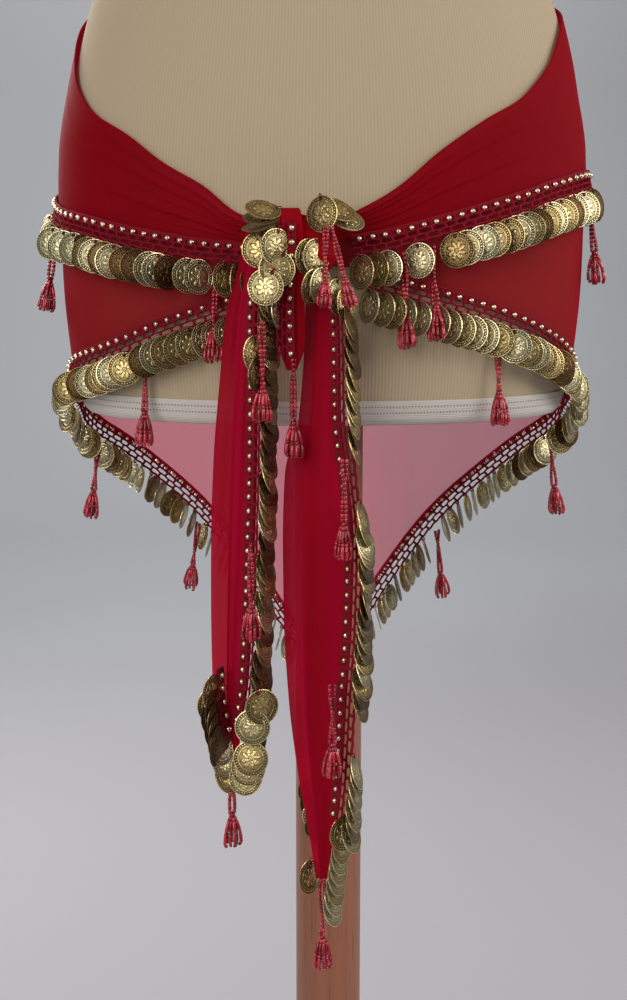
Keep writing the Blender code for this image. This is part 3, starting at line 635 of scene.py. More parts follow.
@dataclass(frozen=True)
class Coin(Finish):
    """Stamped antiqued brass: a dotted border, a rim line and an eight-petalled rosette."""

    name: str = "antique brass coin"
    bright: Colour = (0.86, 0.77, 0.45, 1.0)
    dull: Colour = (0.62, 0.47, 0.20, 1.0)
    dark: Colour = (0.17, 0.095, 0.035, 1.0)
    dirt_and_painted_shade: Colour = (0.050, 0.028, 0.010, 1.0)
    dots: int = 34
    petals: int = 8

    def draw(self, g: Graph) -> None:
        """Adds the nodes.

        With r the distance from the coin's middle and a the angle, the border is a row of dots where
        r is near 0.84, the rim is near 0.97, a line is near 0.70, and the rosette is where r is under
        0.29 plus 0.26 times the size of the sine of four times a.
        """
        u, v = g.pattern()
        x, y = (u - 0.5) * 2.0, (v - 0.5) * 2.0
        r = (x * x + y * y) ** 0.5
        a = g.math("ARCTAN2", y, x)
        dot_row = ((a * (self.dots / TURN)).fraction() - 0.5).size()
        dots = ((dot_row * (TURN * 0.84 / self.dots)) ** 2.0 + (r - 0.84) ** 2.0) ** 0.5
        dots = 1.0 - dots.between(0.028, 0.070)
        rim = r.near(0.97, 0.07)
        line = r.near(0.70, 0.035)
        petal = (a * (self.petals / 2)).sine().size()
        rosette = 1.0 - (r - petal * 0.26).between(0.24, 0.34)
        veins = (a * self.petals).sine().between(0.75, 1.0) * (1.0 - r.between(0.15, 0.5))
        heart = 1.0 - r.between(0.09, 0.14)
        worn = g.noise(900.0, 3.0)
        height = dots + rim * 1.2 + line * 0.6 + rosette * 0.6 - veins * 0.5 + heart * 0.5 + worn * 0.3
        raised = (height - 0.1).between(0.0, 0.7)
        hole = (x * x + (y - COIN_HOLE) ** 2.0) ** 0.5
        open_hole = 1.0 - hole.between(0.085, 0.11)
        # Each coin's tone runs from dark through dull to bright: partly real patina, partly painted
        # reflection of the dark room and of the lights.
        patina_and_painted_reflection = g.shade() + worn * 0.3 - 0.15
        tone = g.blend(patina_and_painted_reflection.between(0.05, 0.45), self.dark, self.dull)
        tone = g.blend(patina_and_painted_reflection.between(0.45, 0.95), tone, self.bright)
        groove = (r.near(0.84, 0.11) + r.near(0.62, 0.05) * 0.5) * (1.0 - dots)
        # The hollows take the dirt colour of the antiqued coin; the hole takes it too, as painted shade for
        # the opening.
        stained_and_shaded = g.blend((raised * 0.52 + 0.48) * (1.0 - groove * 0.8) * (1.0 - open_hole), self.dirt_and_painted_shade, tone)
        g.principled(
            base_color=stained_and_shaded,
            metallic=0.94 - open_hole * 0.9,
            roughness=0.31 - raised * 0.12 + worn * 0.12,
            normal=g.bump(height - open_hole * 2.0, 0.0011, 1.0),
        )


@dataclass(frozen=True)
class GoldBead(Finish):
    """Bright gilt metal."""

    name: str = "gilt bead"
    colour: Colour = (0.95, 0.77, 0.52, 1.0)
    worn: Colour = (0.58, 0.40, 0.22, 1.0)

    def draw(self, g: Graph) -> None:
        """Adds the nodes, duller where a fine noise is low."""
        patch = g.noise(700.0, 2.0)
        g.principled(
            base_color=g.blend(patch.between(0.3, 0.6), self.worn, self.colour),
            metallic=1.0,
            roughness=0.34 - patch * 0.2,
        )


@dataclass(frozen=True)
class GlassBead(Finish):
    """Silver-lined red glass: a bright silver layer under a deep red, with a hard clear gloss; its pale
    streaks are partly painted highlights.
    """

    name: str = "silver-lined glass"
    deep: Colour = (0.24, 0.0012, 0.010, 1.0)
    light: Colour = (0.52, 0.005, 0.022, 1.0)
    lining_and_highlight: Colour = (0.92, 0.22, 0.26, 1.0)

    def draw(self, g: Graph) -> None:
        """Adds the nodes: pale streaks, partly the silver layer and partly painted highlights, show where a
        fine noise is high.
        """
        streak = g.noise(1500.0, 1.0)
        tone = g.blend(g.shade().between(0.2, 1.0), self.deep, self.light)
        # Pale streaks: partly the silver layer inside, partly painted highlights.
        lined = (streak + g.shade() * 0.22).between(0.70, 0.86) * 0.5
        g.principled(
            base_color=g.blend(lined, tone, self.lining_and_highlight),
            metallic=0.15,
            roughness=0.22,
            coat_weight=0.45,
            coat_roughness=0.06,
            normal=g.bump(g.noise(2400.0, 1.0), 0.0002, 0.5),
        )


@dataclass(frozen=True)
class Jersey(Finish):
    """Beige rib-knit cover: fine upright ribs with a matt nap."""

    name: str = "rib jersey"
    light: Colour = (0.495, 0.395, 0.262, 1.0)
    deep: Colour = (0.440, 0.345, 0.226, 1.0)
    ribs: float = 430.0

    def draw(self, g: Graph) -> None:
        """Adds the nodes: a rib is a wave of the share of the way round."""
        u, v = g.pattern()
        ribs = (u * (TURN * self.ribs)).sine() * 0.5 + 0.5
        stitches = (v * TURN / 0.0016).sine() * 0.5 + 0.5
        cloud = g.noise(7.0, 4.0)
        # The grooves between ribs and stitches are painted darker, as painted shade; the cloud is the knit's
        # own uneven tone.
        tone = (ribs * 0.5 + cloud * 0.45 + stitches * ribs * 0.12).between(0.0, 1.0)
        g.principled(
            base_color=g.blend(tone, self.deep, self.light),
            roughness=0.92,
            sheen_weight=0.05,
            normal=g.bump(ribs + stitches * ribs * 0.3 + g.noise(1800.0) * 0.3, 0.0005, 0.22),
            specular_ior_level=0.2,
        )


@dataclass(frozen=True)
class Elastic(Finish):
    """Off-white elastic: two rows of small openings between corded edges."""

    name: str = "openwork elastic"
    light: Colour = (0.66, 0.61, 0.55, 1.0)
    deep: Colour = (0.22, 0.18, 0.15, 1.0)
    pitch: float = 0.0024
    openings: float = 388.0

    def draw(self, g: Graph) -> None:
        """Adds the nodes: openings are evenly spaced round the band, in rows at two heights."""
        u, v = g.pattern()
        step = ((u * self.openings).fraction() - 0.5).size() * self.pitch
        low = ((step * step) + (v - 0.0040) ** 2.0) ** 0.5
        high = ((step * step) + (v - 0.0080) ** 2.0) ** 0.5
        openings = (1.0 - low.between(0.00035, 0.0007)) + (1.0 - high.between(0.00035, 0.0007))
        cords = (v * (TURN / 0.0012)).sine() * 0.5 + 0.5
        # The openings are painted dark and the grooves between cords a little darker: painted shade.
        g.principled(
            base_color=g.blend(openings * 0.75 + (1.0 - cords) * 0.10, self.light, self.deep),
            roughness=0.85,
            normal=g.bump(cords * 0.5 - openings * 1.2 + g.noise(2000.0) * 0.3, 0.0006, 0.7),
        )


@dataclass(frozen=True)
class Wood(Finish):
    """Oiled beech: long upright grain, small flecks and a soft polish."""

    name: str = "oiled beech"
    light: Colour = (0.33, 0.118, 0.058, 1.0)
    deep: Colour = (0.205, 0.064, 0.028, 1.0)

    def draw(self, g: Graph) -> None:
        """Adds the nodes: noise stretched thirty times along the grain, bent by a broad noise."""
        stretched = g.node("ShaderNodeMapping", None, {"Vector": g.place(), "Scale": (1.0, 1.0, 0.035)})
        grain = g.noise(150.0, 5.0, stretched)
        broad = g.noise(22.0, 2.0, stretched)
        flecks = g.noise(700.0, 1.0, stretched).between(0.60, 0.72)
        tone = (grain * 0.6 + broad * 0.55 - flecks * 0.30).between(0.22, 0.82)
        g.principled(
            base_color=g.blend(tone, self.deep, self.light),
            roughness=0.42 + grain * 0.12,
            coat_weight=0.25,
            coat_roughness=0.25,
            normal=g.bump(grain - flecks * 0.4, 0.0004, 0.35),
        )


@dataclass(frozen=True)
class Wall(Finish):
    """Pale blue-grey paint."""

    name: str = "pale wall"
    light: Colour = (0.540, 0.548, 0.568, 1.0)
    deep: Colour = (0.370, 0.360, 0.382, 1.0)

    def draw(self, g: Graph) -> None:
        """Adds the nodes: its tone grows slowly to the back and falls to the right, as painted light and
        shade.
        """
        x = g.node("ShaderNodeSeparateXYZ", None, {"Vector": g.place()}, "X")
        y = g.node("ShaderNodeSeparateXYZ", None, {"Vector": g.place()}, "Y")
        # Darker on the near floor and to the right: painted shade.
        tone = (y * 0.4 - 0.35).between(0.0, 1.0) - x * 0.30 + (g.noise(1.2, 2.0) - 0.5) * 0.2
        g.principled(base_color=g.blend(tone.between(0.0, 1.0), self.deep, self.light), roughness=0.95)


@dataclass
class Finishes:
    """Every finish, built once."""

    chiffon: bpy.types.Material = field(default_factory=Chiffon().build)
    folded: bpy.types.Material = field(default_factory=FOLDED_CHIFFON_WITH_PAINTED_LIGHT.build)
    thread: bpy.types.Material = field(default_factory=Crochet().build)
    coin: bpy.types.Material = field(default_factory=Coin().build)
    gilt: bpy.types.Material = field(default_factory=GoldBead().build)
    glass: bpy.types.Material = field(default_factory=GlassBead().build)
    jersey: bpy.types.Material = field(default_factory=Jersey().build)
    elastic: bpy.types.Material = field(default_factory=Elastic().build)
    wood: bpy.types.Material = field(default_factory=Wood().build)
    wall: bpy.types.Material = field(default_factory=Wall().build)


# the dress form


@dataclass
class DressForm:
    """The padded form, its hem band and its wooden stand."""

    finishes: Finishes
    around: int = 240
    levels_per_row: int = 8
    band_bottom: float = 0.749
    pole_radius: float = 0.024
    base_radius: float = 0.175
    base_thickness: float = 0.026
    hub_radius: float = 0.045
    hub_top: float = 0.046
    pole_x: float = 0.005
    stand_sides: int = 96

    def build(self) -> None:
        """Builds the body, the band and the stand."""
        self.build_body()
        self.build_band()
        self.build_stand()

    def build_body(self) -> None:
        """The skin: superellipses at heights that divide each row of the table evenly."""
        last = len(FORM_ROWS) - 1
        levels = np.linspace(0, last, last * self.levels_per_row + 1)
        z = np.interp(levels, np.arange(last + 1), FORM_ROWS[:, 0])
        turn = -360 * np.arange(self.around) / self.around
        points = around_form(turn[None], z[:, None], 0.0, hangs=False)
        fine = around_form(np.linspace(0, 360, 721), np.full(721, 0.9), 0.0)
        reach = run_along(fine)
        share = np.interp(-turn, np.linspace(0, 360, 721), reach / reach[-1])
        uv = together(share[None], z[:, None])
        shape = grid(points, uv, True, True)
        build_object("form_body_skin", shape, self.finishes.jersey, Slot.JERSEY, "form_body", sharp=50)

    def build_band(self) -> None:
        """The elastic band: a flat closed section with rounded edges, carried round the form."""
        lift = np.array([0.3, 0.75, 0.9, 0.9, 0.9, 0.9, 0.75, 0.3]) * MM
        rise = np.array([-3.6, -3.4, -0.4, 0.6, 6.0, 11.4, 11.9, 12.0]) * MM
        share = np.arange(self.around) / self.around
        level = self.band_bottom + rise[:, None]
        points = around_form(-360 * share[None], level, lift[:, None], hangs=False)
        uv = together(share[None], rise[:, None])
        shape = grid(points, uv, True)
        index = np.arange(points.shape[0] * self.around).reshape(-1, self.around)
        first, last = index[0], index[-1]
        inner = np.stack([last, np.roll(last, -1), np.roll(first, -1), first], -1)
        shape.faces.append(inner)
        elastic = self.finishes.elastic
        build_object("form_hem_elastic", shape, elastic, Slot.ELASTIC, "form_hem_band", sharp=60)

    def build_stand(self) -> None:
        """The turned base, pole and neck cap, each with rounded edges."""
        arc = np.linspace(0, np.pi / 2, 7)

        def rounded(radius: float, top: float, corner: float) -> Array:
            """A quarter circle from the side up to the top."""
            return np.array((radius, top)) - corner + corner * np.stack([np.cos(arc), np.sin(arc)], -1)

        base = np.concatenate(
            [
                [(0.001, 0.0), (self.base_radius - 0.002, 0.0), (self.base_radius, 0.002)],
                rounded(self.base_radius, self.base_thickness, 0.006),
                [(self.hub_radius + 0.003, self.base_thickness)],
                [(self.hub_radius, self.base_thickness + 0.003)],
                rounded(self.hub_radius, self.hub_top, 0.006),
                [(0.001, self.hub_top)],
            ]
        )
        pole = np.concatenate(
            [
                [(0.001, self.hub_top + 0.3 * MM), (self.pole_radius, self.hub_top + 0.3 * MM)],
                np.stack([np.full(9, self.pole_radius), np.linspace(0.06, 0.735, 9)], -1),
                [(self.pole_radius, 0.7447), (0.001, 0.7447)],
            ]
        )
        cap_edge = rounded(0.051, 1.5343, 0.004)
        cap = np.concatenate([[(0.001, 1.5203), (0.051, 1.5203)], cap_edge, [(0.001, 1.5343)]])
        stand = [
            ("stand_base_turned", base, "stand_base", (self.pole_x, 0, 0)),
            ("stand_pole_turned", pole, "stand_pole", (self.pole_x, 0, 0)),
            ("neck_cap_turned", cap, "form_neck_cap", (0, 0.004, 0)),
        ]
        for name, profile, node, centre in stand:
            turned = lathe(profile, self.stand_sides, np.array(centre))
            build_object(name, turned, self.finishes.wood, Slot.WOOD, node, sharp=35)


# the scarf's cloth


@dataclass
class Cloth:
    """The large triangle, the overlay on it, the two tails and the knot."""

    finishes: Finishes
    columns: int = 560
    wrap_out: float = 2.4 * MM
    overlay_out: float = 3.8 * MM
    # Gathers: end (-1 left, 1 right), share across at the knot and where it fades, width, mm, reach
    gathers: tuple[tuple[float, ...], ...] = (
        (-1, 0.16, 0.10, 0.055, 1.5, 62), (-1, 0.34, 0.27, 0.050, 2.2, 80),
        (-1, 0.50, 0.46, 0.040, 1.3, 52), (-1, 0.66, 0.60, 0.055, 2.0, 74),
        (-1, 0.84, 0.76, 0.045, 1.1, 46), (1, 0.14, 0.12, 0.050, 1.7, 66),
        (1, 0.30, 0.22, 0.045, 2.2, 84), (1, 0.47, 0.44, 0.045, 1.5, 58),
        (1, 0.63, 0.54, 0.055, 2.1, 90), (1, 0.82, 0.78, 0.040, 1.2, 50),
    )
    # Fine folds of the back panel: turn, width in degrees, mm, lean in degrees per metre down
    fine_folds: tuple[tuple[float, ...], ...] = (
        (-84, 3.0, 1.4, 10), (-60, 3.2, -1.3, -12), (-52, 2.6, 1.1, -8), (-35, 3.0, -1.2, -14),
        (-15, 2.8, 1.2, -6), (5, 3.2, 1.3, 8), (12, 2.6, -1.0, 12), (30, 3.0, 1.3, 12),
        (52, 3.2, -1.2, 10), (60, 2.8, 1.2, -12), (80, 3.0, 1.4, -10),
    )

    def build(self) -> None:
        """Builds each sheet and declares its cut."""
        self.build_wrap()
        self.build_overlay()
        self.build_tails()
        self.build_knot()

    def turns(self) -> Array:
        """Columns of the sheets round the hips, from the left of the knot to its right."""
        return np.linspace(LEFT_KNOT_TURN, RIGHT_KNOT_TURN, self.columns)

    def fine_fold(self, turn: Array, z: Array) -> Array:
        """Small folds of the hanging panel: bell curves of the turn that lean with the way down."""
        down = np.clip((FORM_ROWS[1, 0] + 0.05 - z) / 0.15, 0.0, 1.0)
        rows = np.array(self.fine_folds)
        turned = turn[..., None] - rows[:, 0] - rows[:, 3] * np.maximum(FORM_ROWS[1, 0] - z, 0)[..., None]
        return down * (np.exp(-((turned / rows[:, 1]) ** 2)) @ rows[:, 2]) * MM

    def build_wrap(self) -> None:
        """The sheet from the long edge to the hem.

        Point = around the form at a height that goes evenly from edge to edge, out by the wrap's
        distance plus the back folds, the fine folds and faint slanting creases over the hips.
        """
        turn = self.turns()
        top, middle, hem = (edge_height(edge, turn) for edge in (Edge.TOP, Edge.OVERLAY, Edge.HEM))
        upper = top + (middle - top) * np.linspace(0, 1, 30)[:, None]
        lower = middle + (hem - middle) * np.linspace(0, 1, 91)[1:, None]
        z = np.concatenate([upper, lower])
        turns = np.broadcast_to(turn, z.shape)
        slant = np.abs(turns) * 0.055 + z * 42
        on_hip = np.clip((np.abs(turns) - 60) / 30, 0, 1) * np.clip((z - 0.735) / 0.03, 0, 1)
        below = np.clip((middle - z) / 0.02, 0, 1)
        creases = wobble(slant, 5, 5) * 0.55 * MM * on_hip * below
        out = self.wrap_out + back_fold(turns, z) + self.fine_fold(turns, z) + creases
        points = around_form(turns, z, out)
        uv = np.stack([turns / 360 * 0.95, z], -1)
        shape = grid(points[::-1, ::-1], uv[::-1, ::-1])
        # Where the cloth is drawn in over the hips its shade is raised: more layers, and a deeper tone that
        # is partly painted shade where it lies on the form.
        drawn_in_and_painted_shade = np.clip((z - 0.735) / 0.03, 0, 1) * np.clip((np.abs(turns) - 45) / 40, 0, 1)
        shape.shade = (0.50 + 0.55 * drawn_in_and_painted_shade)[::-1, ::-1].reshape(-1)
        wrap = build_object("chiffon_wrap_sheet", shape, self.finishes.chiffon, Slot.CHIFFON, "chiffon_wrap")
        self.declare(wrap, shape, (0.98, 0.52))

    def build_overlay(self) -> None:
        """The shorter sheet over the first: gathers fan out from the knot as bell curves across it."""
        turn = self.turns()
        top, middle = edge_height(Edge.TOP, turn), edge_height(Edge.OVERLAY, turn)
        share = np.broadcast_to(np.linspace(0, 1, 72)[:, None], (72, self.columns))
        turns = np.broadcast_to(turn, share.shape)
        z = top + (middle - top) * share
        ridges = np.zeros(share.shape)
        for end, start, finish, width, height, reach in self.gathers:
            away = np.abs(turns - (LEFT_KNOT_TURN if end < 0 else RIGHT_KNOT_TURN)) / reach
            line = start + (finish - start) * away + 0.012 * np.sin(turns / 9 + start * 40)
            ridge = np.exp(-(((share - line) / width) ** 2))
            valley = np.exp(-(((share - line - 1.15 * width) / (0.42 * width)) ** 2))
            ridges += (height * ridge - 0.8 * valley) * MM * np.clip(1 - away, 0, 1) ** 1.2
        soft = wobble(share * 9 + turns * 0.03, 11, 5) * 0.4 * MM * np.sin(np.pi * share)
        points = around_form(turns, z, self.overlay_out + ridges + soft)
        uv = np.stack([turns / 360 * 0.95, z], -1)
        shape = grid(points[::-1, ::-1], uv[::-1, ::-1], shade=0.95)
        cloth, slot, node = self.finishes.chiffon, Slot.CHIFFON, "chiffon_overlay"
        overlay = build_object("chiffon_overlay_sheet", shape, cloth, slot, node)
        roll = tube(around_form(turn, top + 0.3 * MM, 3.1 * MM)[::2], 0.85 * MM, 8, np.array((0, 0, 1)))
        roll.shade[:] = 1.4
        hem = build_object("chiffon_long_edge_roll", roll, cloth, slot, node)
        self.declare(overlay, shape, (0.98, 0.22))

    def build_tails(self) -> None:
        """The two ends, each folded in three: the section is a curve of its share across and of its depth.

        The left one goes on up to the knot's end, in front of the trim round the hips.
        """
        left = np.concatenate([[(0.8690, -0.0455, -0.0335, -0.1400, 0.0010)], LEFT_TAIL])
        for name, rows, back, seed in (("tail_left", left, 0.42, 3), ("tail_right", RIGHT_TAIL, 0.30, 8)):
            front = [(0, 0, 0.9), (0.36, 0.97, 0.5), (0.40, 1.0, 0.3)]
            folds = np.array([*front, (0.66, back, -0.1), (0.70, back - 0.02, -0.4), (1, 1, -1)])
            z = np.linspace(rows[0, 0], rows[-1, 0], 150)[:, None]
            u = np.linspace(0, 1, 110)[None]
            low, high, middle, fold = (smooth(z, rows[::-1, 0], rows[::-1, k]) for k in (1, 2, 3, 4))
            share, depth = smooth(u, folds[:, 0], folds[:, 1]), smooth(u, folds[:, 0], folds[:, 2])
            lines = wobble(u * 14 + z * 5, seed, 5) * 1.1 * MM
            lines = lines + wobble(u * 34 - z * 9, seed + 1, 5) * 0.5 * MM
            x = low + (high - low) * share
            y = middle + fold * depth + lines * np.clip(fold / 0.003, 0, 1)
            points = together(x, y, z)
            uv = together(u * 0.1, z)
            shape = grid(points, uv)
            shape.shade = np.clip(0.78 + 0.20 * wobble(u * 11 + z * 4, seed + 2, 4), 0.5, 1.2).reshape(-1)
            tail = build_object(f"{name}_sheet", shape, self.finishes.folded, Slot.CHIFFON, name)
            self.declare(tail, shape, (0.115, float(np.ptp(rows[:, 0]))))

    def build_knot(self) -> None:
        """The knot: an egg shape whose radius has uneven grooves that turn as they run along it."""
        lean = np.linspace(0.04, np.pi - 0.04, 70)[:, None]
        spin = circle(120)[None]
        wound = spin + 1.3 * lean
        grooves = wobble(3.0 * np.cos(wound), 21, 4) + wobble(3.4 * np.sin(wound), 22, 4)
        pleats = 1 - 0.05 * (0.5 + 0.5 * np.cos(9 * spin + 2.8 * lean)) - 0.06 * (0.5 + 0.4 * grooves)
        x = KNOT_CENTRE[0] - KNOT_HALF_SIZE[0] * np.cos(lean) + 0 * spin
        y = KNOT_CENTRE[1] - KNOT_HALF_SIZE[1] * np.sin(lean) * np.cos(spin) * pleats
        z = KNOT_CENTRE[2] + KNOT_HALF_SIZE[2] * np.sin(lean) * np.sin(spin) * pleats
        uv = together(spin / 60, lean / 60)
        shape = grid(np.stack([x, y, z], -1), uv, True, True, 1.3)
        knot = build_object("knot_cloth", shape, self.finishes.folded, Slot.CHIFFON, "knot")

    def declare(
        self,
        piece: bpy.types.Object,
        shape: Shape,
        flat: tuple[float, float],
    ) -> None:
        """Says what a sheet was cut from.

        Args:
            piece: the sheet.
            shape: its shape, whose area is the cut's.
            flat: width and length of the cut's rectangle.
        """
        log.info("%s: area %.4f of %.4f", piece.name, shape.area, flat[0] * flat[1])


# the netted trim


@dataclass
class Strip:
    """A ribbon that a trim is worked on: its upper edge, the way across and the way out."""

    upper: Array
    across: Array
    out: Array
    bulge: float = 0.0
    width: float = 14 * MM

    def __post_init__(self) -> None:
        """Measures the distance along the middle line."""
        middle = self.upper + self.across * self.width / 2
        self.reach = run_along(middle)

    @property
    def length(self) -> float:
        """The whole length."""
        return float(self.reach[-1])

    def read(self, values: Array, s: Array) -> Array:
        """A vector column at distances along the strip."""
        return np.stack([np.interp(s, self.reach, values[:, k]) for k in range(3)], -1)

    def at(self, s: Array, t: Array, n: Array | float) -> Array:
        """Point = upper edge + t across + n out, plus a bulge that grows with the square of t."""
        s, t, n = np.broadcast_arrays(s, t, n)
        lift = n + self.bulge * np.clip(t / self.width, 0, 1.3) ** 2
        across, out = unit(self.read(self.across, s)), unit(self.read(self.out, s))
        return self.read(self.upper, s) + across * t[..., None] + out * lift[..., None]


@dataclass(frozen=True)
class NetPattern:
    """The crochet: cords that run along it, posts between them and a gilt bead in each cell."""

    pitch: float = 8.3 * MM
    drawn_width: float = 17 * MM
    sides: int = 5
    # Cords: place across, radius, wave, all in mm on the drawn width
    cords: tuple[tuple[float, float, float], ...] = (
        (2.2, 0.95, 0.05), (3.4, 0.95, 0.12), (7.6, 1.05, 0.20), (11.7, 0.85, 0.25), (15.9, 1.00, 0.35),
    )
    # Posts: from, to, radius, shift along in cells, all but the last in mm
    posts: tuple[tuple[float, float, float, float], ...] = (
        (3.4, 7.6, 1.15, 0.0), (3.4, 7.6, 0.75, 0.22), (3.4, 7.6, 0.75, 0.78), (7.6, 11.8, 1.10, 0.0),
        (11.6, 16.0, 1.10, 0.5),
    )
    bead_at: float = 5.3
    bead_radius: float = 2.0

    def net(self, strip: Strip, seed: int) -> Shape:
        """All the threads of a strip.

        A cord is a ring of points at place across + radius * cosine and radius * sine out, carried along.
        A post is such a ring about a place along the strip, carried across from one cord to the next.

        Args:
            strip: where the net lies.
            seed: for its unevenness.

        Returns:
            The closed cords and posts as one shape.
        """
        chance = np.random.default_rng(seed)
        angle = circle(self.sides)
        cells = max(int(round(strip.length / self.pitch)), 1)
        pitch = strip.length / cells
        shapes = []
        scale = strip.width / self.drawn_width
        for place, radius, wave in self.cords:
            s = np.linspace(0, strip.length, cells * 4 + 1)
            uneven = wobble(s / pitch * 1.7, seed + int(place * 10), 4) * 0.25
            middle = place + wave * np.sin(2 * np.pi * s / pitch + place) + uneven * 0.5
            t = (middle[:, None] + radius * np.cos(angle)) * MM * scale
            n = (radius * 0.9 * np.sin(angle) + uneven[:, None] * 0.3) * MM + 0 * t
            points = strip.at(np.broadcast_to(s[:, None], t.shape), t, n)
            uv = together(angle / (2 * np.pi), s[:, None])
            shapes.append(grid(points, uv, True, True))
        for start, end, radius, shift in self.posts:
            base = (np.arange(cells) + shift + chance.normal(0, 0.05, cells)) * pitch
            levels = np.linspace(start, end, 3)
            rise = (levels - start)[None, :, None] / (end - start)
            lean = chance.normal(0, 0.35, cells)[:, None, None] * rise
            waist = np.array([1.15, 0.9, 1.15])[None, :, None]
            s = base[:, None, None] + (radius * waist * np.cos(angle) + lean) * MM
            s = np.clip(s, 0, strip.length)
            t = np.broadcast_to(levels[None, :, None] * MM * scale, s.shape)
            n = np.broadcast_to(radius * waist * 0.8 * np.sin(angle) * MM, s.shape)
            uv = together(angle / (2 * np.pi), levels[None, :, None] * MM, s)[..., :2]
            posts = [grid(*post, True, True) for post in zip(strip.at(s, t, n), uv)]
            for post in posts:
                post.faces = [block[:, ::-1] for block in post.faces]
            shapes += posts
        return joined(shapes)

    def beads(self, strip: Strip, seed: int) -> Shape:
        """A gilt bead in the middle of each cell of the bead row, proud of the net."""
        chance = np.random.default_rng(seed + 50)
        cells = max(int(round(strip.length / self.pitch)), 1)
        s = (np.arange(cells) + 0.5 + chance.normal(0, 0.03, cells)) * strip.length / cells
        scale = strip.width / self.drawn_width
        places = strip.at(s, np.full(cells, self.bead_at * MM * scale), 0.6 * MM)
        out, across = unit(strip.read(strip.out, s)), unit(strip.read(strip.across, s))
        axes = np.stack([np.cross(across, out), across, out], 1) * (self.bead_radius * MM)
        return stamped(bead_unit(9, 6), axes, places, np.full(cells, 0.5))


def bead_unit(sides: int, rings: int) -> Shape:
    """A bead of radius 1: rings whose radius is the sine and whose height the cosine of an even angle."""
    angle = np.linspace(0.22, np.pi - 0.22, rings)
    profile = np.stack([np.sin(angle), -np.cos(angle)], -1)
    return lathe(profile, sides, np.zeros(3))


def barrel_unit(sides: int, length: float) -> Shape:
    """A cut bead of radius 1 with slightly rounded ends, centred on its middle."""
    half = length / 2
    profile = np.array([(0.72, -half), (1.0, -half * 0.82), (1.0, half * 0.82), (0.72, half)])
    return lathe(profile, sides, np.zeros(3))


def coin_unit(sides: int = 22, radius: float = COIN_RADIUS, thickness: float = 0.9 * MM) -> Shape:
    """A coin that hangs from its hole at the origin.

    Its rings go over the edge at radii from 0.94 to 1, and its pattern place is 0.5 plus half
    the distance from the middle, so the relief's circles fit the rim.
    """
    half = thickness / 2
    inner, low = 0.94 * radius, half * 0.45
    profile = np.array([(inner, -half), (radius, -low), (radius, low), (inner, half)])
    shape = lathe(profile, sides, np.zeros(3))
    shape.uv = 0.5 + shape.points[:, :2] / radius / 2
    shape.points = shape.points - np.array((0, radius * COIN_HOLE, 0))
    return shape


def loop_unit(height: float = 5.4 * MM, width: float = 2.6 * MM, thread: float = 0.42 * MM) -> Shape:
    """A thread loop through a coin's hole: an oval of eight points whose section has four."""
    angle = circle(8)
    rise = height / 2 * (1 + np.cos(angle)) - 0.8 * MM
    middle = np.stack([0 * angle, rise, width / 2 * np.sin(angle)], -1)
    outward = unit(np.stack([0 * angle, np.cos(angle) / height, np.sin(angle) / width], -1))
    turn = circle(4)
    rim = np.cos(turn)[:, None] * outward[:, None] + np.sin(turn)[:, None] * np.array((1.0, 0, 0))
    points = middle[:, None] + rim * thread
    index = np.arange(32).reshape(8, 4)
    after = np.roll(index, -1, 0)
    quads = np.stack([index, np.roll(index, -1, 1), np.roll(after, -1, 1), after], -1).reshape(-1, 4)
    uv = together(turn[None] / (2 * np.pi), angle[:, None] * 0.002)
    return Shape(points.reshape(-1, 3), [quads], uv.reshape(-1, 2), np.full(32, 0.5))


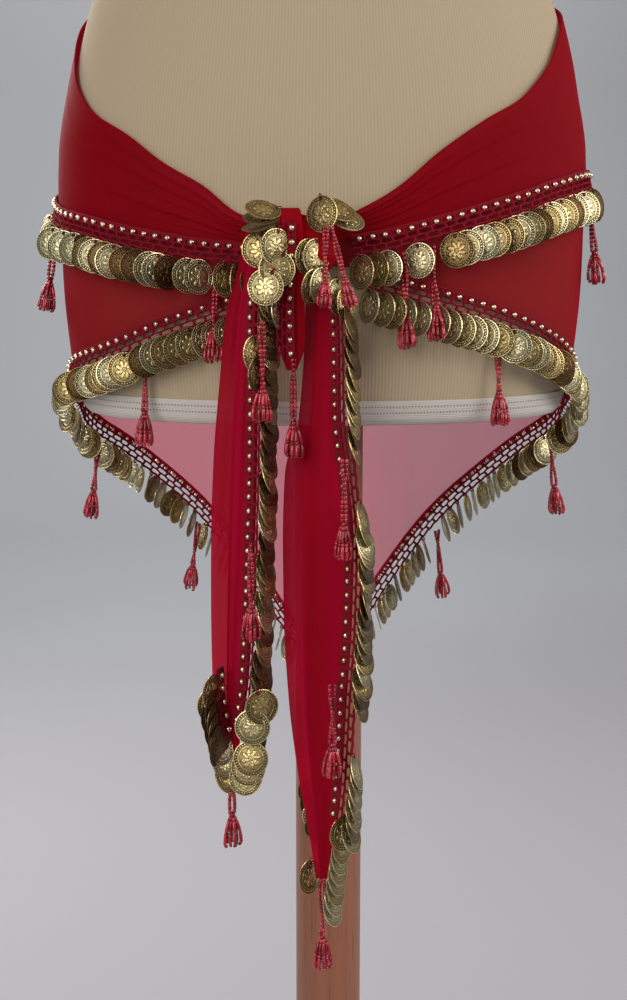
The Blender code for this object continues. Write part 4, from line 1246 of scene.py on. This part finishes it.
@dataclass
class CoinRow:
    """Coins along a strip: each hangs from its lower edge and is turned about the line that it hangs on."""

    strip: Strip
    yaw: Array
    seed: int
    hang: tuple[float, float, float] = (0.0, 0.0, -0.9)
    hang_across: float = 0.35
    from_edge: float = 13.2 * MM
    pitch: float = 8.3 * MM
    skip: tuple[float, ...] = ()
    clearance: float = 1.6 * MM
    least_lift: float = 0.6 * MM
    radius: float = COIN_RADIUS
    jitter: float = 8.0
    # Mean tone of the coins: partly patina, partly painted reflection.
    patina_and_painted_reflection: float = 0.55
    # Stretch left free at each tassel, and height below which coins no longer lie against the form
    tassel_room: float = 5.2 * MM
    form_starts: float = 0.728
    # Stretches without coins, in shares of the length
    bare: tuple[tuple[float, float], ...] = ()

    def build(self) -> tuple[Shape, Shape]:
        """Works out every coin's place.

        The way it hangs = the hang vector plus a share of the way across the strip. The yaw table gives the
        turn in degrees at shares of the length. A coin's hole is out from the strip by the radius times
        the sine of the yaw, less the clearance behind it, so its inner rim clears the cloth.
        That distance falls to its least value for coins that hang below the form.

        Returns:
            The coins and the thread loops that hold them.
        """
        chance = np.random.default_rng(self.seed)
        count = max(int(round(self.strip.length / self.pitch)), 1)
        s = (np.arange(count) + 0.5 + chance.normal(0, 0.13, count)) * self.strip.length / count
        for tassel in self.skip:
            s = s[np.abs(s - tassel) > self.tassel_room]
        for start, end in self.bare:
            s = s[(s < start * self.strip.length) | (s > end * self.strip.length)]
        count = len(s)
        yaw = smooth(s / self.strip.length, self.yaw[:, 0], self.yaw[:, 1])
        yaw = np.radians(yaw + chance.normal(0, self.jitter, count))
        tilt = np.radians(6 + 5 * chance.random(count))
        across, out = unit(self.strip.read(self.strip.across, s)), unit(self.strip.read(self.strip.out, s))
        hang = unit(across * self.hang_across + np.array(self.hang))
        out = unit(out - hang * (out * hang).sum(-1, keepdims=True))
        side = np.cross(hang, out)
        c, d = np.cos(yaw)[:, None], np.sin(yaw)[:, None]
        face = out * c - side * d
        lean, steep = np.cos(tilt)[:, None], np.sin(tilt)[:, None]
        down = hang * lean + out * steep
        face = unit(face - down * (face * down).sum(-1, keepdims=True))
        cord = self.strip.at(s, np.full(count, self.from_edge), 0.0)
        beside = np.clip((cord[:, 2] - self.form_starts) / 0.02, 0, 1)
        lift = (self.radius * np.abs(np.sin(yaw)) - self.clearance) * beside
        lift = np.clip(lift, self.least_lift, None)
        hole = cord + hang * 2.6 * MM + out * lift[:, None]
        axes = np.stack([np.cross(-down, face), -down, face], 1)
        shades = np.clip(chance.normal(self.patina_and_painted_reflection, 0.30, count), 0, 1)
        coins = stamped(coin_unit(), axes, hole, shades)
        return coins, hung_loops(cord, hole, face)


def hung_loops(cord: Array, hole: Array, face: Array, unit_reach: float = 4.0 * MM) -> Shape:
    """A thread loop from each place on a cord to each coin's hole, stretched to reach."""
    reach = np.linalg.norm(cord - hole, axis=1, keepdims=True)
    rise = (cord - hole) / reach
    first = unit(np.cross(face, rise))
    axes = np.stack([first, rise * reach / unit_reach, np.cross(first, rise)], 1)
    return stamped(loop_unit(), axes, hole, np.full(len(hole), 0.5))


@dataclass
class CoinStack:
    """Coins in line: their middles lie evenly between two points and their faces turn evenly too."""

    count: int
    start: tuple[float, float, float]
    end: tuple[float, float, float]
    first_face: tuple[float, float, float]
    last_face: tuple[float, float, float]
    turn: float = 0.0

    def build(self, seed: int, radius: float = COIN_RADIUS) -> tuple[Shape, Shape]:
        """Works out the coins and loops.

        A coin's top is the upward way square to its face, turned by the angle.

        Args:
            seed: for the coins' shades.
            radius: the coins' radius.

        Returns:
            The coins and their loops.
        """
        share = np.linspace(0, 1, self.count)[:, None] if self.count > 1 else np.zeros((1, 1))
        middle = (np.array(self.start) * (1 - share) + np.array(self.end) * share) * MM
        face = unit(np.array(self.first_face, float) * (1 - share) + np.array(self.last_face, float) * share)
        upright = unit(np.array((0, 0.02, 1.0)) - face * (face @ np.array((0, 0.02, 1.0)))[:, None])
        side = np.cross(upright, face)
        angle = math.radians(self.turn)
        top = upright * math.cos(angle) + side * math.sin(angle)
        first = side * math.cos(angle) - upright * math.sin(angle)
        hole = middle + top * radius * COIN_HOLE
        # Random tones, partly patina and partly painted reflection, leaning darker than the rows'.
        shades = np.random.default_rng(seed).uniform(0.12, 0.80, self.count)
        coins = stamped(coin_unit(), np.stack([first, top, face], 1), hole, shades)
        cord = hole + top * 3.0 * MM + face * 0.3 * MM
        return coins, hung_loops(cord, hole, face)


# Turn of the coins in degrees at shares of each row's length
HEM_YAW = np.array([
    (0.0, 52), (0.04, 60), (0.08, 34), (0.14, 30), (0.18, 28), (0.21, 40), (0.23, 88), (0.25, 84),
    (0.285, 66), (0.305, 38), (0.325, 44), (0.34, 66), (0.37, 76), (0.42, 92), (0.47, 108), (0.5, 72),
    (0.545, 80), (0.59, 92), (0.615, 128), (0.63, 130), (0.65, 96), (0.693, 90), (0.74, 86), (0.76, 96),
    (0.785, 145), (0.84, 154), (0.88, 150), (0.92, 130), (0.95, 118), (1.0, 130),
])
OVERLAY_YAW = np.array([
    (0, 70), (0.05, 66), (0.09, 30), (0.14, 24), (0.20, 20), (0.25, 22), (0.30, 62), (0.34, 30),
    (0.42, 42), (0.50, 90), (0.58, 138), (0.66, 150), (0.70, 118), (0.76, 158), (0.82, 160),
    (0.87, 154), (0.90, 128), (0.94, 150), (1.0, 120),
])
LEFT_TAIL_YAW = np.array([(0, 58), (0.08, 62), (0.16, 70), (0.60, 71), (0.85, 66), (1.0, 58)])
RIGHT_TAIL_YAW = np.array([
    (0, 70), (0.15, 75), (0.25, 86), (0.34, 86), (0.38, 70), (0.48, 70), (0.52, 85), (0.57, 84),
    (0.61, 66), (0.70, 68), (0.76, 79), (0.90, 79), (1.0, 66),
])
RIGHT_TAIL_BARE = ((0.25, 0.35), (0.735, 0.84))
TIP_YAW = np.array([(0, 62), (0.5, 66), (1.0, 70)])
BEHIND_YAW = np.array([(0, 0), (1.0, 8)])
# Stacks of coins: count, first and last middle in mm, first and last face, turn in degrees
BUNCHES: dict[str, tuple[tuple, ...]] = {
    "trim_knot_left": (
        (3, (-35.7, -148, 878.5), (-37.5, -153, 869), (0.2, -0.5, 0.85), (-0.18, -0.28, 0.95), 80),
        (2, (-37.5, -155, 855.3), (-27.9, -159.5, 856.7), (-0.15, -1, 0.1), (0.55, -0.8, 0.0), 8),
        (2, (-27.4, -161, 844), (-34, -164, 833.7), (0.2, -1, 0.1), (-0.2, -1, 0.15), 24),
        (2, (-30, -156, 826), (-27, -154, 819), (0.9, -0.4, 0.1), (0.9, -0.3, 0.1), -6),
    ),
    "trim_knot_right": (
        (1, (-1, -150, 875.9), (0, 0, 0), (-0.55, -0.8, 0.12), (0, 0, 1), -10),
        (2, (9, -145.5, 878.5), (13.9, -144, 873), (0.35, -0.5, 0.75), (0.3, -0.55, 0.8), -35),
        (2, (-9, -150, 850.9), (-4.5, -149, 851), (0.68, -0.73, 0.0), (0.68, -0.73, 0.0), 0),
        (2, (-6.5, -150, 833.3), (-1.5, -148, 834), (0.8, -0.6, -0.1), (0.8, -0.6, 0.0), 0),
        (2, (8, -150, 827.5), (14, -149, 823), (0.86, -0.5, 0.1), (0.82, -0.56, 0.1), 6),
    ),
    "trim_tail_left": (
        (2, (-40.2, -170, 795.1), (-38, -168.5, 782.5), (0.8, -0.6, 0.06), (0.82, -0.56, 0.06), 4),
    ),
    "trim_tail_left_tip": (
        (6, (-70, -150, 574.4), (-60, -156, 531), (0.7, -0.66, 0.25), (0.75, -0.5, 0.4), -12),
        (2, (-37.4, -174, 581.6), (-43.2, -174.5, 569), (0.45, -0.9, 0.1), (-0.1, -0.98, 0.12), -14),
        (3, (-44.4, -173, 548.5), (-48, -165, 533), (-0.15, -1.0, 0.2), (-0.3, -0.9, 0.35), 8),
    ),
    "trim_tail_right_tip": (
        (1, (12.7, -172.5, 499.8), (0, 0, 0), (0.6, -0.79, 0.1), (0, 0, 1), 8),
        (7, (11.6, -165, 488), (6, -160, 444), (0.86, -0.48, 0.18), (0.84, -0.42, 0.34), 8),
        (1, (-8, -156, 464), (0, 0, 0), (0.75, -0.66, 0.1), (0, 0, 1), 8),
    ),
}


@dataclass
class Trims:
    """Every stretch of trim: round the hem, round the overlay, over the knot and down the tails."""

    finishes: Finishes
    net: NetPattern = field(default_factory=NetPattern)
    over_edge: float = 3 * MM
    hem_out: float = 4.5 * MM
    overlay_out: float = 5.7 * MM
    samples: int = 900
    tail_width: float = 17.0 * MM
    tip_width: float = 8.5 * MM

    def build(self, tassels: "Tassels") -> None:
        """Builds each trim, leaving room for the tassels."""
        hem = self.edge_strip(Edge.HEM, self.hem_out, -158, 168)
        overlay = self.edge_strip(Edge.OVERLAY, self.overlay_out, -163, 172)
        for node, strip, yaw, seed in (
            ("trim_hem", hem, HEM_YAW, 31),
            ("trim_overlay", overlay, OVERLAY_YAW, 32),
        ):
            self.build_trim(node, strip, CoinRow(strip, yaw, seed, skip=tassels.along(strip)))
        # Side, sideways lean of the coins, top, bottom, turn, inset in mm, yaw table, bare stretches, seed
        for node, rows, side, lean, top, bottom, turn, inset, yaw, bare, seed in (
            ("left", LEFT_TAIL, 1, 0.17, 0.836, 0.562, 40, -7.5, LEFT_TAIL_YAW, (), 33),
            ("right", RIGHT_TAIL, 1, 0.17, 0.825, 0.505, 44, -7.0, RIGHT_TAIL_YAW, RIGHT_TAIL_BARE, 34),
            ("left_tip", LEFT_TAIL, -1, -0.17, 0.600, 0.555, 60, -8, TIP_YAW, (), 35),
            ("right_tip", RIGHT_TAIL, -1, 0.20, 0.530, 0.500, -88, -8, BEHIND_YAW, (), 36),
        ):
            strip = self.tail_strip(rows, side, top, bottom, turn, inset * MM)
            strip.width = self.tail_width if side > 0 else self.tip_width
            forward = replace(strip, out=np.broadcast_to((0.0, -1.0, 0.0), strip.out.shape))
            # Coins in front of a tail hang a little forward, those behind it a little back
            hang = (lean, -0.10 if turn > 0 else 0.05, -0.98)
            row = CoinRow(forward, yaw, seed, hang, hang_across=0.1, from_edge=strip.width - 0.8 * MM)
            # The tails' coins are set darker: painted shade and painted reflection of the red cloth round
            # them.
            row.pitch, row.clearance, row.jitter, row.patina_and_painted_reflection, row.bare = 7.2 * MM, 11 * MM, 5.0, 0.3, bare
            self.build_trim(f"trim_tail_{node}", strip, row)
        self.build_strand()
        self.build_bunches()

    def edge_strip(self, edge: Edge, out: float, start: float, end: float) -> Strip:
        """The strip along an edge of the cloth round the hips.

        The way along is between points half a degree to each side, the way up between points 4 mm
        below and above, the way out is square to both, and the way across is square to out and along.
        """
        turn = np.linspace(start, end, self.samples)

        def at(turns: Array, lift: float) -> Array:
            """Points at a height above the edge."""
            z = edge_height(edge, turns) + lift
            return around_form(turns, z, out + back_fold(turns, z))

        middle = at(turn, 0.0)
        along = unit(at(turn + 0.5, 0.0) - at(turn - 0.5, 0.0))
        upright = unit(at(turn, 0.004) - at(turn, -0.004))
        outward = unit(np.cross(along, upright))
        flip = (outward[:, 0] * middle[:, 0] + outward[:, 1] * middle[:, 1]) < 0
        outward = np.where(flip[:, None], -outward, outward)
        across = unit(np.cross(outward, along))
        across = np.where(across[:, 2:] < 0, across, -across)
        return Strip(middle - across * self.over_edge, across, outward, bulge=1.6 * MM)

    def tail_strip(
        self, rows: Array, side: int, top: float, bottom: float, turn: float, inset: float
    ) -> Strip:
        """The strip down one edge of a tail.

        Args:
            rows: the tail's sections.
            side: -1 for its left edge, 1 for its right.
            top: where the strip starts.
            bottom: where it ends.
            turn: degrees by which it is turned forward, or backward and behind the cloth if negative.
            inset: how far out of the edge its upper edge lies.

        Returns:
            The strip.
        """
        z = np.linspace(top, bottom, 120)
        places = rows[::-1]
        left, right, middle, fold = (smooth(z, places[:, 0], places[:, k]) for k in (1, 2, 3, 4))
        x = (right if side > 0 else left) + side * inset
        upper = np.stack([x, middle - math.copysign(1, turn) * (fold + 1.6 * MM), z], -1)
        a = math.radians(turn)
        across = np.broadcast_to((side * math.cos(a), -math.sin(a), 0.0), upper.shape)
        out = np.broadcast_to((-side * math.sin(a), -math.cos(a), 0.0), upper.shape)
        return Strip(upper, across, out)

    def build_trim(self, node: str, strip: Strip, row: CoinRow) -> None:
        """Builds the net, the gilt beads, the coins and their loops of one trim.

        Args:
            node: the solid that they stand for.
            strip: where the net lies.
            row: its coins.
        """
        coins, loops = row.build()
        threads = joined([self.net.net(strip, row.seed), loops])
        self.place(f"{node}_net", threads, self.finishes.thread, node, Slot.CHIFFON)
        self.place(f"{node}_beads", self.net.beads(strip, row.seed), self.finishes.gilt, node, Slot.TRIM)
        self.place(f"{node}_coins", coins, self.finishes.coin, node, Slot.TRIM)

    def place(self, name: str, shape: Shape, finish: bpy.types.Material, node: str, slot: Slot) -> None:
        """Makes one piece of a trim."""
        build_object(name, shape, finish, slot, node, sharp=55)

    def build_strand(self) -> None:
        """The end of the overlay, which comes over the knot and hangs in front of it, with its trim.

        Its cloth is a grid across 18 mm whose middle line rises in front and bends back over the knot.
        """
        line = np.array([
            (0.7840, -0.1515), (0.8200, -0.1520), (0.8500, -0.1535), (0.8660, -0.1535),
            (0.8745, -0.1500), (0.8790, -0.1430), (0.8800, -0.1340), (0.8785, -0.1280),
        ])
        reach = run_along(line)
        s = np.linspace(0, reach[-1], 90)[:, None]
        z, y = smooth(s, reach, line[:, 0]), smooth(s, reach, line[:, 1])
        u = np.linspace(-1, 1, 28)[None]
        half = (7.3 + 1.0 * wobble(s * 60, 51)) * MM * np.clip(0.45 + s / 0.02, 0, 1)
        half = half * (1 - 0.42 * np.clip((s - 0.088) / 0.022, 0, 1) ** 1.5)
        x = -0.0192 + 0.8 * MM * np.sin(s * 50) + half * u
        y = y + (0.9 * u**2 + 0.35 * np.sin(u * 7 + s * 40)) * MM
        shape = grid(together(x, y, z), together(u * 0.009, s), shade=1.1)
        self.place("trim_strand_cloth", shape, self.finishes.folded, "trim_strand", Slot.CHIFFON)
        z = np.linspace(0.872, 0.790, 60)
        upper = np.stack([-0.0158 + 0.6 * MM * np.sin(z * 60), np.full(60, -0.1553), z], -1)
        strip = Strip(
            upper,
            np.broadcast_to((-1.0, 0.0, 0.0), upper.shape),
            np.broadcast_to((0.0, -1.0, 0.0), upper.shape),
            width=12 * MM,
        )
        thread, gilt = self.finishes.thread, self.finishes.gilt
        self.place("trim_strand_net", self.net.net(strip, 41), thread, "trim_strand", Slot.CHIFFON)
        self.place("trim_strand_beads", self.net.beads(strip, 41), gilt, "trim_strand", Slot.TRIM)

    def build_bunches(self) -> None:
        """The coins bunched at the knot and at the tails' tips."""
        for node, stacks in BUNCHES.items():
            parts = [CoinStack(*stack).build(60 + number) for number, stack in enumerate(stacks)]
            coins, loops = joined([part[0] for part in parts]), joined([part[1] for part in parts])
            self.place(f"{node}_bunch", coins, self.finishes.coin, node, Slot.TRIM)
            self.place(f"{node}_bunch_loops", loops, self.finishes.thread, node, Slot.CHIFFON)


# the tassels


@dataclass
class Tassels:
    """Beaded tassels: a stem of two twisted strands of small beads, and a bell of long beads below it."""

    finishes: Finishes
    stem: float = 38 * MM
    drop: float = 20 * MM
    legs: int = 10
    seed_radius: float = 1.25 * MM
    knot_scale: float = 0.80
    # Beads of a leg: start and end as shares of it, radius in mm
    leg_beads: tuple[tuple[float, float, float], ...] = (
        (0.02, 0.13, 1.0), (0.14, 0.50, 1.12), (0.51, 0.60, 1.0), (0.61, 0.92, 1.12), (0.93, 1.0, 1.05),
    )
    # Tassels tied at the knot: top and bottom of each
    at_knot: tuple[tuple[tuple[float, float, float], tuple[float, float, float]], ...] = (
        ((0.0012, -0.1640, 0.8690), (0.0004, -0.1665, 0.8200)),
        ((0.0045, -0.1620, 0.8685), (0.0158, -0.1640, 0.8230)),
    )

    def __post_init__(self) -> None:
        """Reads where each tassel's solid hangs: the middle of its highest and of its lowest points."""
        tops, lows = [], []
        for number in range(1, TASSEL_COUNT + 1):
            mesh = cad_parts[f"tassel_{number:02d}"].data
            co = np.zeros(len(mesh.vertices) * 3)
            mesh.vertices.foreach_get("co", co)
            co = co.reshape(-1, 3)
            tops.append(co[co[:, 2] > co[:, 2].max() - 0.6 * MM].mean(0))
            lows.append(co[co[:, 2] < co[:, 2].min() + 9 * MM].mean(0))
        extra = np.array(self.at_knot)
        self.tops, self.lows = np.concatenate([tops, extra[:, 0]]), np.concatenate([lows, extra[:, 1]])

    def along(self, strip: Strip) -> tuple[float, ...]:
        """Distances along a strip where a tassel hangs from it."""
        lower = strip.upper + strip.across * strip.width
        gaps = np.linalg.norm(self.tops[:, None] - lower[None], axis=2)
        near = gaps.min(1) < 5 * MM
        return tuple(float(strip.reach[k]) for k in gaps.argmin(1)[near])

    def unit_shape(self, seed: int) -> Shape:
        """One tassel that hangs down from the origin.

        The stem's beads lie on two strands that wind round each other. Each leg of the bell is a chain of
        long and small beads, whose distance from the axis grows with the sine of the way down
        and draws in at the end.
        """
        chance = np.random.default_rng(seed)
        parts = []
        length = 2.7 * MM
        count = int(self.stem / length)
        along = (np.arange(count) + 0.5) / count
        for strand in (0, math.pi):
            spin = strand + along * 3.4 + 0.3 * seed
            apart = (1.35 + 0.35 * np.sin(along * 2 * math.pi + seed)) * MM
            places = np.stack([np.cos(spin) * apart, np.sin(spin) * apart, -along * self.stem], -1)
            axes = np.broadcast_to(np.eye(3) * self.seed_radius, (count, 3, 3))
            bead = barrel_unit(6, 0.94 * length / self.seed_radius)
            parts.append(stamped(bead, axes, places, chance.uniform(0.05, 0.95, count)))
        knob = np.array([[0.0, 0.0, -self.stem - 1.0 * MM]])
        parts.append(stamped(bead_unit(8, 5), np.eye(3)[None] * 2.2 * MM, knob, np.array([0.3])))
        way = np.linspace(0, 1, 41)
        out = (1.5 + 4.3 * np.sin(way * 0.56 * np.pi) ** 0.9 - 1.6 * np.clip((way - 0.93) / 0.07, 0, 1)) * MM
        for leg in range(self.legs):
            turn = 2 * np.pi * (leg + chance.uniform(-0.15, 0.15)) / self.legs
            wide, fall = chance.uniform(0.86, 1.06), self.drop * chance.uniform(0.90, 1.02)
            radial = out * wide * (1.0 if leg % 2 else 0.72)
            sunk = -self.stem - 1.6 * MM - fall * way
            path = np.stack([radial * math.cos(turn), radial * math.sin(turn), sunk], -1)
            for start, end, radius in self.leg_beads:
                low, high = (
                    np.array([np.interp(w, way, path[:, k]) for k in range(3)]) for w in (start, end)
                )
                axis = unit(low - high)
                first = unit(np.cross(axis, np.array((math.sin(turn), -math.cos(turn), 0.0))))
                length = float(np.linalg.norm(low - high))
                axes = np.stack([first, np.cross(axis, first), axis])[None] * radius * MM
                bead = barrel_unit(6, length / (radius * MM))
                parts.append(stamped(bead, axes, (low + high)[None] / 2, chance.uniform(0.1, 1.0, 1)))
        return joined(parts)

    def build(self) -> None:
        """Hangs a tassel on each anchor, of three slightly different ones, each turned further."""
        down = unit(self.lows - self.tops)
        spin = np.arange(len(down)) * 2.4
        level = np.stack([np.cos(spin), np.sin(spin), 0 * spin], -1)
        first = unit(level - down * (level * down).sum(-1, keepdims=True))
        axes = np.stack([first, np.cross(-down, first), -down], 1)
        axes[TASSEL_COUNT:] *= self.knot_scale
        shades = np.full(len(axes), 0.5)
        kinds = [
            stamped(self.unit_shape(kind), axes[kind::3], self.tops[kind::3], shades[kind::3])
            for kind in range(3)
        ]
        nodes = [f"tassel_{number:02d}" for number in range(1, TASSEL_COUNT + 1)]
        build_object("tassels", joined(kinds), self.finishes.glass, Slot.BEADS, *nodes, sharp=60)


# the room


@dataclass
class Studio:
    """A pale sweep behind the form, soft light and the camera."""

    finishes: Finishes
    camera_place: tuple[float, float, float] = (-0.006, -1.02, 0.855)
    # The horizon is 250 pixels above the picture's middle, and the focal length is 1450 pixels
    camera_down: float = math.degrees(math.atan(250 / 1450))
    lens: float = 52.2
    sky: Colour = (0.88, 0.91, 0.95, 1.0)
    sky_strength: float = 0.28
    sweep_width: int = 8
    arc_radius: float = 1.5
    wall_at: float = 4.8

    def build(self) -> None:
        """Builds the sweep, the lights and the camera."""
        bpy.context.scene.view_settings.view_transform = "Standard"
        self.build_sweep()
        self.build_lights()
        self.build_camera()

    def build_sweep(self) -> None:
        """Floor and wall in one: straight, a quarter circle and straight up."""
        arc, wide, bend = np.linspace(0, np.pi / 2, 17), self.sweep_width, self.arc_radius
        curve = np.stack([self.wall_at - bend + bend * np.sin(arc), bend - bend * np.cos(arc)], -1)
        ends = [(-wide, 0.0), (0.2, 0.0)], [(self.wall_at, 3.0), (self.wall_at, 7.0)]
        line = np.concatenate([ends[0], curve, ends[1]])
        x = np.linspace(-wide, wide, 9)
        points = together(x[None], line[:, :1], line[:, 1:]).astype(float)
        points[..., 2] -= 0.001
        uv = points[..., :2].copy()
        shape = grid(points, uv)
        mesh = bpy.data.meshes.new("sweep")
        mesh.from_pydata(shape.points.tolist(), [], shape.faces[0].tolist())
        mesh.materials.append(self.finishes.wall)
        mesh.shade_smooth()
        sweep = bpy.data.objects.new("sweep", mesh)
        bpy.context.scene.collection.objects.link(sweep)
        sweep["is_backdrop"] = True

    def build_lights(self) -> None:
        """Area lights: a window at the right, a broad one at the front left, and those for the sweep."""
        # Name, place, target, size, watts, colour
        rows = [
            ("window", (1.5, -0.75, 1.55), (0, 0, 0.85), 1.0, 14, (1.0, 0.98, 0.95)),
            ("front", (-1.1, -1.9, 1.5), (0, 0, 0.80), 1.7, 29, (1.0, 0.98, 0.96)),
            ("side", (1.7, 0.20, 1.15), (0, 0, 0.85), 0.7, 8, (1.0, 0.99, 0.97)),
            ("rear", (-0.9, 1.15, 1.5), (0, 0.1, 0.72), 0.9, 23, (1.0, 0.98, 0.97)),
            ("top", (0.0, 0.6, 3.3), (0, 0.3, 0), 1.8, 8, (1.0, 1.0, 1.0)),
            ("wash", (0.0, 1.9, 3.6), (0, 4.7, 1.2), 2.4, 66, (1.0, 1.0, 1.0)),
        ]
        for name, place, target, size, power, colour in rows:
            light = bpy.data.lights.new(name, "AREA")
            light.shape, light.size, light.energy, light.color = "SQUARE", size, power, colour
            lamp = bpy.data.objects.new(name, light)
            lamp.location = place
            lamp.rotation_euler = (Vector(target) - Vector(place)).to_track_quat("-Z", "Y").to_euler()
            lamp.visible_camera = False
            bpy.context.scene.collection.objects.link(lamp)
        world = bpy.data.worlds.new("surround")
        bpy.context.scene.world = world
        world.use_nodes = True
        background = world.node_tree.nodes["Background"]
        background.inputs[0].default_value = self.sky
        background.inputs[1].default_value = self.sky_strength

    def build_camera(self) -> None:
        """The camera, a little above the hips and looking down."""
        data = bpy.data.cameras.new("camera")
        data.lens, data.sensor_width = self.lens, 36
        data.clip_start, data.clip_end = 0.05, 30
        camera = bpy.data.objects.new("camera", data)
        camera.location = self.camera_place
        camera.rotation_euler = Matrix.Rotation(math.radians(90 - self.camera_down), 3, "X").to_euler()
        bpy.context.scene.collection.objects.link(camera)
        bpy.context.scene.camera = camera


def main() -> None:
    """Builds the room and every sub-assembly in order."""
    logging.basicConfig(level=logging.INFO, format="%(name)s: %(message)s")
    finishes = Finishes()
    tassels = Tassels(finishes)
    Studio(finishes).build()
    DressForm(finishes).build()
    Cloth(finishes).build()
    Trims(finishes).build(tassels)
    tassels.build()
    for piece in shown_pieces():
        log.info("%s: %d faces", piece.name, len(piece.data.polygons))


if __name__ == "__main__":
    main()
